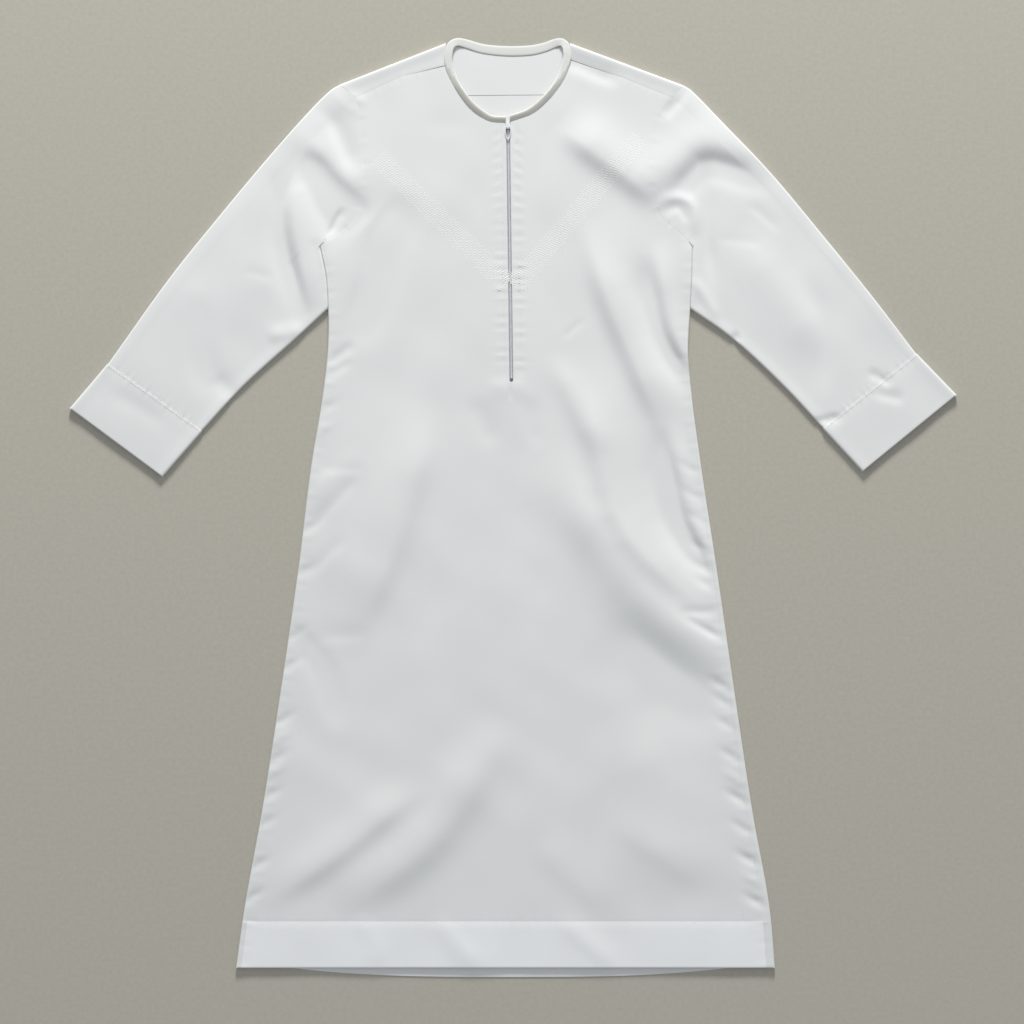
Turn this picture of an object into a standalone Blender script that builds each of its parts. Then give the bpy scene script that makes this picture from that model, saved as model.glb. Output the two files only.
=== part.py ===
"""A long white robe (thobe) laid flat on its back: collarless, with a zipped slit at the neck.

Units in the tables are millimetres. X runs to the right of someone looking down at the robe's front,
Y from the hem to the neck, and Z up from the surface it lies on. The origin is under the middle of the
whole robe. Left and right in a name mean the side with the smaller and the larger X.
Each piece is a wall of cloth. The back panel and the lower halves of the sleeves lie on the surface, the
upper layer lies on them, and its height follows a short table of folds.
"""

import math
from collections import namedtuple

import bmesh
import bpy
import numpy as np

MM = 0.001

# Cloth
CLOTH = 1.3  # thickness of one layer
HEM_CLOTH = 1.9  # the turned-up hem, two layers pressed together
CUFF_CLOTH = 2.0  # the doubled cuff
GAP = 0.3  # between two pieces
SEAM = GAP / 2  # how far each piece stops short of its seam line
FOLD_RADIUS = 2.5  # outer radius where the cloth turns from the lower to the upper layer
CUFF_RADIUS = 3.0
CUFF_STEP = 0.8  # how far the cuff stands out past the sleeve at each end of its seam
ARMPIT_SWING = 170  # how strongly the sleeve's lengthwise lines bow up round the armpit

# Lengths along the robe
ARMPIT_Y = 391
SLEEVE_MEETS_Y = 298  # down to here the sleeve lies against the body's side
ZIP_END_Y = 188
HEM_SEAM_Y = -620
HEM_EDGE_Y = -690
BACK_HEM_DROP = 14  # the back hem shows this far below the front hem at its middle
BACK_HEM_HALF = 330

# Stations: how finely each stretch is divided
BESIDE_SLEEVE = 3
BESIDE_ZIP = 3
SKIRT = 22
HEM = 2
ARMHOLE = 11
SLIT = 4
NECK_FRONT = ARMHOLE - SLIT
NECK_CORNER = 4
NECK_BACK = 8
FRONT_HALF = 11
BACK_COLUMNS = (-236, -192, -148, -103.3, -8.5, 86.3, 137, 187, 238)
SHOULDER = 6
SLEEVE_LENGTH = 10
FOLD_ARC = 4
CUFF_ACROSS = 6
CUFF_LENGTH = 3
BINDING_SIDES = 8

# The body's outline: the two side folds, and how far in from each its side seam lies
Side = namedtuple("Side", "y left right seam_left seam_right")
SIDES = (
    Side(391, -290, 268, 4, 4),
    Side(345, -281, 267, 4, 4),
    Side(298, -278, 265, 4, 4),
    Side(230, -279, 262, 4, 4.5),
    Side(161, -287, 268, 4, 5),
    Side(71, -302, 280, 4, 6),
    Side(-94, -323, 305, 4.5, 8),
    Side(-274, -349, 331, 5.5, 10),
    Side(-454, -377, 358, 6.5, 12),
    Side(-617, -406, 386, 8, 13),
    Side(-690, -416, 392, 8, 13),
)

# Each sleeve: the shoulder point, the fold along its top, the fold along its underside from where it
# leaves the body, and the two ends of the cuff's seam and of the cuff's own edge
Sleeve = namedtuple("Sleeve", "name side shoulder top under cuff_edge armhole yoke_bend neck_x neck_y")
SLEEVES = (
    Sleeve(
        "left", -1, (-260, 634),
        ((-277, 623), (-310, 590), (-371, 521), (-446, 431), (-518, 341), (-608, 215)),
        ((-329, 251), (-403, 184), (-467, 115)),
        ((-665, 149), (-526, 46)),
        ((-283, 399), (-261, 413), (-241, 430), (-229, 463), (-224, 503), (-227, 571), (-236, 614)),
        (-165, 647), -103.3, 663,
    ),
    Sleeve(
        "right", 1, (254, 633),
        ((270, 622), (310, 581), (388, 499), (463, 409), (536, 319), (604, 230)),
        ((331, 251), (403, 184), (464, 119)),
        ((664, 169), (523, 54)),
        ((262, 399), (240, 419), (217, 441), (208, 482), (209, 523), (219, 583), (238, 614)),
        (161, 645), 86.3, 672,
    ),
)
SHOULDER_NECK_Y = 696  # where the shoulder folds meet the neck
BACK_YOKE_Y = (618, 619.5)  # the back yoke's seam under each end of the neck

# The neck's binding: the middle of its band, half its width, and its lowest height
Neck = namedtuple("Neck", "x y half bottom")
NECK = (
    Neck(-11.85, 580.8, 6, 4.4),
    Neck(-33, 582, 6, 4.2),
    Neck(-49, 591, 6, 3.9),
    Neck(-67, 607, 6, 3.9),
    Neck(-85, 633, 6, 3.9),
    Neck(-97, 663, 6, 3.9),
    Neck(-97.3, 681, 6, 3.9),
    Neck(-93.5, 693, 6, 3.3),
    Neck(-84, 697.8, 6, 2.1),
    Neck(-71, 695.5, 6.5, 0.5),
    Neck(-46, 688, 7, 0),
    Neck(-11, 684.5, 7.5, 0),
    Neck(24, 685.5, 7.5, 0),
    Neck(46, 690, 7, 0),
    Neck(60, 695.5, 6.5, 0.5),
    Neck(71, 697.8, 6, 2.1),
    Neck(78.5, 692, 6, 3.3),
    Neck(80.2, 682, 6, 3.9),
    Neck(80, 672, 6, 3.9),
    Neck(72, 648, 6, 3.9),
    Neck(60, 627, 6, 3.9),
    Neck(43, 608, 6, 3.9),
    Neck(22, 592, 6, 4.2),
    Neck(-4.65, 582.5, 6, 4.4),
)
NECK_LEFT_SEAM = 5  # rows of the table where the yoke's front seams meet the binding
NECK_RIGHT_SEAM = 18
NECK_BACK_LEFT = 9  # rows between which the band lies on the surface
NECK_BACK_RIGHT = 14
BINDING_DEPTH = 2.8
BINDING_SQUARE = (0.7, 0.8)  # powers that square off its section across and up

# The zip
ZIP_TOP = (-8.25, 575)
ZIP_FOOT = (-3.2, 190)
SLIT_HALF = 3.6
SLIT_TOP_DROP = 0.8  # how far under the binding's end each edge of the slit stops
PLACKET = 13.4  # the stitched strip along each side of the slit
ZIP_HEIGHT = 4.4  # the upper layer's underside beside the zip
ZIP_FLAT = 19  # it keeps that height this far to each side
ZIP_BLEND = 36
ZIP_BELOW = 60  # the flat strip starts this far below the slit
ZIP_BELOW_BLEND = 45
TAPE = (12.7, 0.8)
TAPE_BOTTOM = 3.2
TAPE_FROM_MIDDLE = 2.6
TAPE_ENDS_Y = (186, 584)
CHAIN = (4.6, 1.7)
CHAIN_BOTTOM = 2.8
CHAIN_ENDS_Y = (194, 573.2)
SLIDER = (6.4, 9.6)
SLIDER_Y = 572
SLIDER_WING = 0.9
SLIDER_BOTTOM = 1.6
SLIDER_TOP = 5.7
SLIDER_LIP = (0.45, 0.4)
LIP_SHARE = 0.98  # of the slider's length
WEDGE = (2.2, 2.8)
BRIDGE = (2.4, 6.0, 3.5)
BRIDGE_SINK = 0.1
BRIDGE_HOLE = 1.2
PULL_Y = 571
PULL_Z = 7.0
PULL_WIRE = 0.8
PULL_LOOP = ((2.9, 0), (3.9, -4), (4.1, -9), (3.3, -13), (1.6, -17.5), (0, -18.8))

# Folds: a trough or ridge along a curve through four points, its half widths to the right and to the left
# of the way along it, and its height
Fold = namedtuple("Fold", "name start first second end right left rise")
FOLDS = (
    Fold("sweep ridge", (52, 105), (112, -18), (196, -130), (350, -270), 42, 36, 8.5),
    Fold("sweep foot", (150, -150), (205, -220), (262, -272), (345, -330), 60, 34, -3.5),
    Fold("side sweep ridge", (108, 245), (128, 90), (178, -48), (330, -185), 22, 44, 7),
    Fold("belly ridge", (108, 440), (138, 325), (180, 225), (238, 90), 18, 42, 7.5),
    Fold("waist trough", (194, 385), (208, 300), (228, 240), (285, 160), 24, 13, -5),
    Fold("waist ridge", (214, 405), (230, 305), (249, 245), (298, 178), 13, 20, 4.8),
    Fold("side hollow", (216, 125), (234, 32), (250, -30), (310, -135), 26, 13, -5.5),
    Fold("side hollow ridge", (236, 140), (257, 35), (273, -25), (330, -120), 13, 16, 3.4),
    Fold("zip foot ridge", (60, 235), (80, 180), (104, 130), (130, 70), 16, 22, 2.5),
    Fold("right slope", (160, -300), (205, -400), (228, -490), (246, -600), 80, 80, 4.5),
    Fold("left skirt ridge", (-122, 165), (-152, 45), (-186, -68), (-245, -205), 55, 24, 6),
    Fold("left side ridge", (-345, -20), (-300, 18), (-262, 50), (-215, 84), 26, 18, 1.5),
    Fold("left knee trough", (-350, -172), (-308, -212), (-278, -258), (-262, -345), 18, 16, -3.5),
    Fold("left shin ridge", (-118, -402), (-200, -466), (-262, -516), (-385, -600), 34, 20, 4.8),
    Fold("left foot ridge", (-20, -305), (-75, -430), (-140, -514), (-275, -612), 44, 30, 6.5),
    Fold("right hem ridge", (140, -462), (196, -502), (236, -528), (300, -576), 20, 30, 1.3),
    Fold("middle hem ridge", (30, -490), (72, -540), (100, -566), (150, -612), 20, 30, 1.3),
    Fold("chest ridge", (64, 578), (126, 530), (176, 494), (226, 448), 20, 40, 6.5),
    Fold("left chest trough", (-160, 480), (-196, 392), (-212, 328), (-250, 226), 20, 30, -5.5),
    Fold("left sleeve trough", (-314, 580), (-347, 484), (-346, 398), (-306, 266), 24, 12, -4.5),
    Fold("left sleeve ridge", (-298, 578), (-322, 486), (-323, 400), (-290, 266), 15, 42, 6),
    Fold("left armhole trough", (-334, 556), (-291, 501), (-266, 470), (-214, 438), 18, 17, -7.5),
    Fold("left elbow ridge", (-352, 540), (-382, 430), (-398, 340), (-412, 240), 34, 50, 3),
    Fold("left forearm trough", (-470, 330), (-474, 270), (-462, 205), (-420, 158), 22, 20, -2.5),
    Fold("right sleeve ridge", (208, 452), (242, 524), (288, 554), (405, 512), 26, 34, 5),
    Fold("right sleeve trough", (222, 446), (262, 502), (300, 519), (396, 482), 18, 15, -4.5),
    Fold("right elbow ridge", (330, 420), (368, 360), (425, 290), (480, 215), 40, 34, 3.5),
    Fold("right forearm trough", (440, 360), (462, 280), (466, 220), (460, 160), 16, 16, -2),
    Fold("hem band left ridge", (-240, -606), (-218, -634), (-206, -660), (-200, -700), 18, 14, 1.2),
    Fold("hem band middle ridge", (-125, -606), (-96, -640), (-78, -662), (-42, -700), 18, 14, 1.3),
    Fold("hem band right ridge", (62, -606), (96, -640), (122, -662), (165, -700), 14, 18, 1.3),
)
REST_LIFT = 1.6  # how far the upper layer stands off the lower where nothing else shapes it
LIFT_SOFTNESS = 1.0  # rounds the bottom of a trough that reaches the lower layer
FOLD_FADE = 0.32  # share of its length over which each end of a fold rises or sinks
EDGE_REACH = 10  # how far in a folded edge holds the upper layer up
EDGE_CALMS = 0.6  # how much of a fold's height is lost at a folded edge


def smooth_curve(points, stretches):
    """Points along a smooth curve. Each stretch names a given point it runs to and its number of steps."""
    given = np.asarray(points, float)
    ends = np.vstack((2 * given[0] - given[1], given, 2 * given[-1] - given[-2]))
    steps = np.linspace(0, 1, 12, endpoint=False)[:, None]
    fine = []
    for before, start, end, after in zip(ends, ends[1:], ends[2:], ends[3:]):
        bend = 2 * before - 5 * start + 4 * end - after
        swing = 3 * start - before - 3 * end + after
        fine.append(0.5 * (2 * start + (end - before) * steps + bend * steps**2 + swing * steps**3))
    fine = np.vstack((*fine, given[-1]))
    run = np.concatenate(([0], np.cumsum(np.linalg.norm(np.diff(fine[:, :2], axis=0), axis=1))))
    wanted = [0.0]
    for last, count in stretches:
        reached = run[last * len(steps)]
        wanted.extend(np.linspace(wanted[-1], reached, count + 1)[1:])
    return np.column_stack([np.interp(wanted, run, column) for column in fine.T])


def even_curve(points, count):
    return smooth_curve(points, ((len(points) - 1, count),))


def plan_normals(points):
    """Unit vectors across a curve in plan, to the right of its direction."""
    along = np.gradient(points[:, :2], axis=0)
    along /= np.linalg.norm(along, axis=1)[:, None]
    return np.column_stack((along[:, 1], -along[:, 0]))


def unit(vector):
    vector = np.asarray(vector, float)
    return vector / np.linalg.norm(vector)


def distance_to(x, y, path):
    """Distance from each place to a curve, how far along the nearest point lies, 0 to 1, and its side."""
    start = path[:-1]
    run = path[1:] - start
    from_start = np.stack((x, y), axis=-1)[..., None, :] - start
    share = np.clip((from_start * run).sum(-1) / (run * run).sum(-1), 0, 1)
    away = np.linalg.norm(from_start - share[..., None] * run, axis=-1)
    index = away.argmin(-1)[..., None]
    along = (index + np.take_along_axis(share, index, -1)) / len(run)
    turned = run[:, 0] * from_start[..., 1] - run[:, 1] * from_start[..., 0]
    left = np.take_along_axis(turned, index, -1) > 0
    return np.take_along_axis(away, index, -1)[..., 0], along[..., 0], left[..., 0]


def side_at(y, column):
    """A column of the side table at a height, along a smooth curve."""
    rows = SIDES[::-1]
    heights = np.array([row.y for row in rows], float)
    values = np.array([getattr(row, column) for row in rows], float)
    slopes = np.gradient(values, heights)
    y = np.clip(y, heights[0], heights[-1])
    row = np.clip(np.searchsorted(heights, y) - 1, 0, len(rows) - 2)
    span = heights[row + 1] - heights[row]
    t = (y - heights[row]) / span
    start = values[row] * (1 + 2 * t) * (1 - t) ** 2 + slopes[row] * span * t * (1 - t) ** 2
    end = values[row + 1] * t**2 * (3 - 2 * t) + slopes[row + 1] * span * t**2 * (t - 1)
    return start + end


def zip_x(y):
    """The zip's middle line, which leans a little."""
    share = (ZIP_TOP[1] - y) / (ZIP_TOP[1] - ZIP_FOOT[1])
    return ZIP_TOP[0] + share * (ZIP_FOOT[0] - ZIP_TOP[0])


def shoulder_neck(sleeve):
    return np.array((sleeve.neck_x, SHOULDER_NECK_Y))


def yoke_corner(sleeve):
    """Where the yoke's front seam meets the armhole."""
    return np.array(sleeve.armhole[-1], float)


def sleeve_root(sleeve):
    """Where the sleeve's under fold leaves the body's side."""
    side = "left" if sleeve.side < 0 else "right"
    return np.array((side_at(SLEEVE_MEETS_Y, side) + sleeve.side * GAP, SLEEVE_MEETS_Y))


def folded_edges():
    """Every line where the cloth turns from the lower layer to the upper one."""
    heights = np.linspace(HEM_EDGE_Y, ARMPIT_Y, 25)
    lines = [np.column_stack((side_at(heights, side), heights)) for side in ("left", "right")]
    for sleeve in SLEEVES:
        lines.append(np.array((shoulder_neck(sleeve), sleeve.shoulder)))
        lines.append(even_curve((sleeve.shoulder, *sleeve.top, sleeve.cuff_edge[0]), 14))
        lines.append(even_curve((sleeve_root(sleeve), *sleeve.under, sleeve.cuff_edge[1]), 10))
    return lines


EDGES = folded_edges()
FOLD_CURVES = [even_curve((fold.start, fold.first, fold.second, fold.end), 12) for fold in FOLDS]


def smooth_step(value):
    value = np.clip(value, 0, 1)
    return value * value * (3 - 2 * value)


def fold_lift(x, y):
    """The folds' heights added up over the resting lift, and never below the lower layer."""
    total = np.full(np.shape(x), REST_LIFT)
    for fold, curve in zip(FOLDS, FOLD_CURVES):
        away, along, left = distance_to(x, y, curve)
        fade = smooth_step(along / FOLD_FADE) * smooth_step((1 - along) / FOLD_FADE)
        reach = np.where(left, fold.left, fold.right)
        total = total + fold.rise * np.exp(-((away / reach) ** 2)) * fade
    return 0.5 * (total + np.sqrt(total**2 + LIFT_SOFTNESS))


def upper_layer(x, y, cloth=CLOTH, radius=FOLD_RADIUS):
    """Height of the underside of the upper layer."""
    x = np.asarray(x, float)
    y = np.asarray(y, float)
    away = np.min([distance_to(x, y, line)[0] for line in EDGES], axis=0)
    away = np.maximum(away - radius, 0)
    edge_lift = 2 * radius - 2 * cloth - GAP
    held = np.exp(-((away / EDGE_REACH) ** 2))
    lift = edge_lift * held + fold_lift(x, y) * (1 - EDGE_CALMS * held)
    from_zip = np.abs(x - zip_x(y))
    beside_zip = smooth_step((ZIP_FLAT + ZIP_BLEND - from_zip) / ZIP_BLEND)
    above_foot = smooth_step((y - ZIP_END_Y + ZIP_BELOW) / ZIP_BELOW_BLEND)
    flat = beside_zip * above_foot
    lift = lift * (1 - flat) + (ZIP_HEIGHT - CLOTH - GAP) * flat
    return cloth + GAP + lift


def body_cloth(y):
    return np.where(np.asarray(y) < HEM_SEAM_Y, HEM_CLOTH, CLOTH)


class Wall:
    """A sheet of cloth with an outer and an inner point at each station, closed into a solid."""

    def __init__(self):
        self.outer = []
        self.inner = []
        self.faces = []

    def station(self, outer, inner):
        self.outer.append(tuple(float(value) for value in outer))
        self.inner.append(tuple(float(value) for value in inner))
        return len(self.outer) - 1

    def upper(self, x, y, cloth=CLOTH, radius=FOLD_RADIUS):
        low = float(upper_layer(x, y, cloth, radius))
        return self.station((x, y, low + cloth), (x, y, low))

    def lower(self, x, y, cloth=CLOTH):
        return self.station((x, y, 0), (x, y, cloth))

    def turn(self, edge, outward, cloth=CLOTH, radius=FOLD_RADIUS):
        """Stations round a fold, from the lower layer to the upper one, without its two ends."""
        edge = np.asarray(edge, float)
        inside = edge - outward * radius
        top = float(upper_layer(*inside, cloth, radius)) + cloth
        made = []
        for step in range(1, FOLD_ARC):
            angle = math.pi * step / FOLD_ARC
            across = math.sin(angle)
            up = 1 - math.cos(angle)
            out = inside + outward * radius * across
            within = inside + outward * (radius - cloth) * across
            tall = top / 2
            made.append(self.station((*out, tall * up), (*within, cloth + (tall - cloth) * up)))
        return made

    def grid(self, rows):
        """Quads between rows of stations, each cut along its shorter diagonal on both faces."""
        for low, high in zip(rows, rows[1:]):
            for a, b, c, d in zip(low, low[1:], high[1:], high):
                points = [np.array(self.outer[index]) for index in (a, b, c, d)]
                if np.linalg.norm(points[0] - points[2]) < np.linalg.norm(points[1] - points[3]):
                    self.faces += [(a, b, c), (a, c, d)]
                else:
                    self.faces += [(a, b, d), (b, c, d)]

    def build(self, name, material):
        count = len(self.outer)
        faces = list(self.faces)
        faces += [tuple(count + index for index in reversed(face)) for face in self.faces]
        edges = {}
        for face in self.faces:
            for start, end in zip(face, face[1:] + face[:1]):
                edges.setdefault(frozenset((start, end)), []).append((start, end))
        for used in edges.values():
            if len(used) == 1:
                start, end = used[0]
                faces.append((end, start, count + start, count + end))
        return solid(name, material, [*self.outer, *self.inner], faces)


def solid(name, material, points, faces):
    mesh = bpy.data.meshes.new(name)
    mesh.from_pydata([tuple(value * MM for value in point) for point in points], [], faces)
    shape = bmesh.new()
    shape.from_mesh(mesh)
    bmesh.ops.recalc_face_normals(shape, faces=shape.faces)
    shape.to_mesh(mesh)
    shape.free()
    mesh.shade_smooth()
    mesh.set_sharp_from_angle(angle=math.radians(50))
    mesh.materials.append(material)
    return place(bpy.data.objects.new(name, mesh))


def place(thing):
    ROBE.objects.link(thing)
    return thing


def make_material(name, colour, roughness, metallic=0.0):
    material = bpy.data.materials.new(name)
    material.use_nodes = True
    shader = material.node_tree.nodes["Principled BSDF"]
    shader.inputs["Base Color"].default_value = (*colour, 1)
    shader.inputs["Roughness"].default_value = roughness
    shader.inputs["Metallic"].default_value = metallic
    return material


def armhole_line(sleeve):
    """Stations of the armhole seam, from just above the armpit up to the yoke's front seam."""
    return even_curve(sleeve.armhole, ARMHOLE - 1)


def armhole_side(sleeve, toward_body):
    """The armhole stations moved off the seam line, to the body's side or the sleeve's."""
    line = armhole_line(sleeve)
    across = plan_normals(line)
    across = across * np.sign(-sleeve.side * across[0, 0])
    return line + across * (SEAM if toward_body else -SEAM)


def neck_line():
    """Stations along the binding, from the zip's left side round to its right."""
    return smooth_curve(
        NECK,
        (
            (NECK_LEFT_SEAM, NECK_FRONT),
            (NECK_BACK_LEFT, NECK_CORNER),
            (NECK_BACK_RIGHT, NECK_BACK),
            (NECK_RIGHT_SEAM, NECK_CORNER),
            (len(NECK) - 1, NECK_FRONT),
        ),
    )


NECK_LINE = neck_line()
NECK_ACROSS = plan_normals(NECK_LINE)  # to the right of the way round, so into the neck's opening


def neck_outside(first, last):
    """The binding's outer edge between two stations, moved a gap away from it."""
    part = slice(first, last + 1)
    return NECK_LINE[part, :2] - NECK_ACROSS[part] * (NECK_LINE[part, 2:3] + GAP)


def body_rows():
    """Heights of the body's rows from the hem's seam up to the armpit."""
    skirt = np.linspace(HEM_SEAM_Y + 1, ZIP_END_Y, SKIRT + 1)
    beside_zip = np.linspace(ZIP_END_Y + 3, SLEEVE_MEETS_Y, BESIDE_ZIP + 1)
    beside_sleeve = np.linspace(SLEEVE_MEETS_Y, ARMPIT_Y, BESIDE_SLEEVE + 1)
    hem = np.linspace(HEM_EDGE_Y, HEM_SEAM_Y - 1, HEM + 1)
    return np.concatenate((hem, skirt, beside_zip, beside_sleeve[1:]))


def between(start, end, count):
    start = np.asarray(start, float)
    end = np.asarray(end, float)
    return [start + (end - start) * step / count for step in range(count + 1)]


def front_row(outer, inner):
    """Stations from a side seam to the slit, the last one the width of the placket."""
    outer = np.asarray(outer, float)
    inner = np.asarray(inner, float)
    length = np.linalg.norm(inner - outer)
    strip = outer + (inner - outer) * (1 - PLACKET / length)
    return [*between(outer, strip, FRONT_HALF - 1), inner]


def yoke_seam(sleeve):
    """The yoke's front seam from the armhole to the neck, with its one bend."""
    corner = yoke_corner(sleeve)
    bend = np.array(sleeve.yoke_bend, float)
    neck = np.array((sleeve.neck_x, sleeve.neck_y))
    return corner, bend, neck


def front_half(sleeve, rows):
    """Plan points of one half of the front panel: rows from the hem to the yoke's seam."""
    side = "left" if sleeve.side < 0 else "right"
    inward = -sleeve.side
    plan = []
    for y in rows:
        seam = side_at(y, side) + inward * (side_at(y, "seam_" + side) + SEAM)
        slit = zip_x(y) + (sleeve.side * SLIT_HALF if y > ZIP_END_Y else 0)
        plan.append(front_row((seam, y), (slit, y)))
    neck = neck_outside(0, NECK_FRONT)
    if sleeve.side > 0:
        neck = neck_outside(len(NECK_LINE) - 1 - NECK_FRONT, len(NECK_LINE) - 1)[::-1]
    slit_heights = np.linspace(ARMPIT_Y, neck[0][1] - SLIT_TOP_DROP, SLIT + 1)[1:]
    inner = [(zip_x(y) + sleeve.side * SLIT_HALF, y) for y in slit_heights] + list(neck[1:])
    outer = armhole_side(sleeve, True)
    below = np.array((0, -SEAM))
    corner, bend, _ = yoke_seam(sleeve)
    outer[-1] = outer[-1] + below
    inner[-1] = np.array(inner[-1]) + below
    half = (FRONT_HALF - 1) // 2
    strip = inner[-1] + unit(bend - inner[-1]) * PLACKET
    seam = between(outer[-1], bend + below, half)
    seam += between(bend + below, strip, FRONT_HALF - 1 - half)[1:] + [inner[-1]]
    bow = np.array(seam) - np.array(front_row(outer[-1], inner[-1]))
    for index, (start, end) in enumerate(zip(outer, inner), 1):
        row = np.array(front_row(start, end))
        plan.append(list(row + bow * (index / ARMHOLE) ** 3))
    return plan


def make_front(material):
    """The front panel, with its slit, and its hem turned up."""
    wall = Wall()
    rows = body_rows()
    halves = [front_half(sleeve, rows) for sleeve in SLEEVES]
    grids = ([], [])
    for index, pair in enumerate(zip(*halves)):
        y = rows[index] if index < len(rows) else ARMPIT_Y
        cloth = float(body_cloth(y))
        left = [wall.upper(*point, cloth) for point in pair[0]]
        right = [wall.upper(*point, cloth) for point in pair[1][:-1]]
        right.append(left[-1] if y <= ZIP_END_Y else wall.upper(*pair[1][-1], cloth))
        grids[0].append(left)
        grids[1].append(right[::-1])
    for grid in grids:
        wall.grid(grid)
    return wall.build("body_front", material)


def make_back(material):
    """The back panel, which turns up round both sides to the side seams."""
    wall = Wall()
    shares = (np.array(BACK_COLUMNS) - BACK_COLUMNS[0]) / (BACK_COLUMNS[-1] - BACK_COLUMNS[0])
    flat_rows = []
    side_rows = ([], [])
    for y in body_rows():
        cloth = float(body_cloth(y))
        ends = [side_at(y, side) for side in ("left", "right")]
        inside = (ends[0] + FOLD_RADIUS, ends[1] - FOLD_RADIUS)
        flat = []
        for x in inside[0] + shares * (inside[1] - inside[0]):
            drop = 0
            if y == HEM_EDGE_Y:
                drop = BACK_HEM_DROP * max(0, 1 - abs((x + 5) / BACK_HEM_HALF) ** 3)
            flat.append(wall.lower(x, y - drop, cloth))
        flat_rows.append(flat)
        for sign, side, end, base, column in (
            (-1, "left", ends[0], flat[0], side_rows[0]),
            (1, "right", ends[1], flat[-1], side_rows[1]),
        ):
            outward = np.array((sign, 0))
            seam = end - sign * (side_at(y, "seam_" + side) - SEAM)
            turned = wall.turn((end, y), outward, cloth)
            top = wall.upper(end - sign * FOLD_RADIUS, y, cloth)
            column.append([base, *turned, top, wall.upper(seam, y, cloth)])
    armholes = [armhole_side(sleeve, True) for sleeve in SLEEVES]
    for index in range(ARMHOLE):
        left, right = armholes[0][index], armholes[1][index]
        points = [left + (right - left) * share for share in shares]
        if index == ARMHOLE - 1:
            line = back_yoke_line()
            points = [(x, np.interp(x, line[:, 0], line[:, 1]) - SEAM) for x, _ in points]
        flat_rows.append([wall.lower(x, y) for x, y in points])
    wall.grid(flat_rows)
    wall.grid(side_rows[0])
    wall.grid(side_rows[1])
    return wall.build("body_back", material)


def back_yoke_line():
    """The back yoke's seam, with a bend under each end of the neck."""
    left, right = SLEEVES
    return np.array((
        yoke_corner(left),
        (left.neck_x, BACK_YOKE_Y[0]),
        (right.neck_x, BACK_YOKE_Y[1]),
        yoke_corner(right),
    ))


def make_yoke(material):
    """The yoke: across the upper back, over both shoulders, and down to the front seams."""
    wall = Wall()
    line = back_yoke_line()
    back_columns = []
    for sleeve in SLEEVES:
        corner, bend, neck = yoke_seam(sleeve)
        inward = np.array((-sleeve.side * SEAM, 0))
        up = np.array((0, SEAM))
        half = SHOULDER // 2
        seam = between(corner + inward + up, bend + up, half) + between(bend + up, neck + up, half)[1:]
        folds = between(np.array(sleeve.shoulder) + inward, shoulder_neck(sleeve), SHOULDER)
        slope = unit(folds[-1] - folds[0])
        across = np.array((-slope[1], slope[0])) * np.sign(slope[0])
        front_rows = []
        turned_rows = []
        columns = []
        for index, (edge, foot) in enumerate(zip(folds, seam)):
            outward = across
            if index in (0, SHOULDER):
                outward = unit(edge - foot)
            inside = edge - outward * FOLD_RADIUS
            front = [wall.upper(*point) for point in between(foot, inside, 2)]
            x = np.interp(index, (0, SHOULDER), (seam[0][0], sleeve.neck_x))
            base = (x, np.interp(x, line[:, 0], line[:, 1]) + SEAM)
            back = [wall.lower(*point) for point in between(base, inside, 3)]
            turned = wall.turn(edge, outward)
            front_rows.append(front)
            turned_rows.append([back[-1], *turned, front[-1]])
            columns.append(back)
        wall.grid(front_rows)
        wall.grid(turned_rows)
        back_columns.append(columns)
    left, right = back_columns
    first = NECK_FRONT + NECK_CORNER
    lower_edge = NECK_LINE[first : first + NECK_BACK + 1]
    inward = NECK_ACROSS[first : first + NECK_BACK + 1]
    neck_edge = lower_edge[:, :2] + inward * (lower_edge[:, 2:3] + GAP)
    start, end = SLEEVES[0].neck_x, SLEEVES[1].neck_x
    middle = []
    for index, point in enumerate(neck_edge, 1):
        x = start + (end - start) * index / (len(neck_edge) + 1)
        base = (x, np.interp(x, line[:, 0], line[:, 1]) + SEAM)
        middle.append([wall.lower(*spot) for spot in between(base, point, 3)])
    wall.grid([*left, *middle, *right[::-1]])
    return wall.build("yoke", material)


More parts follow.
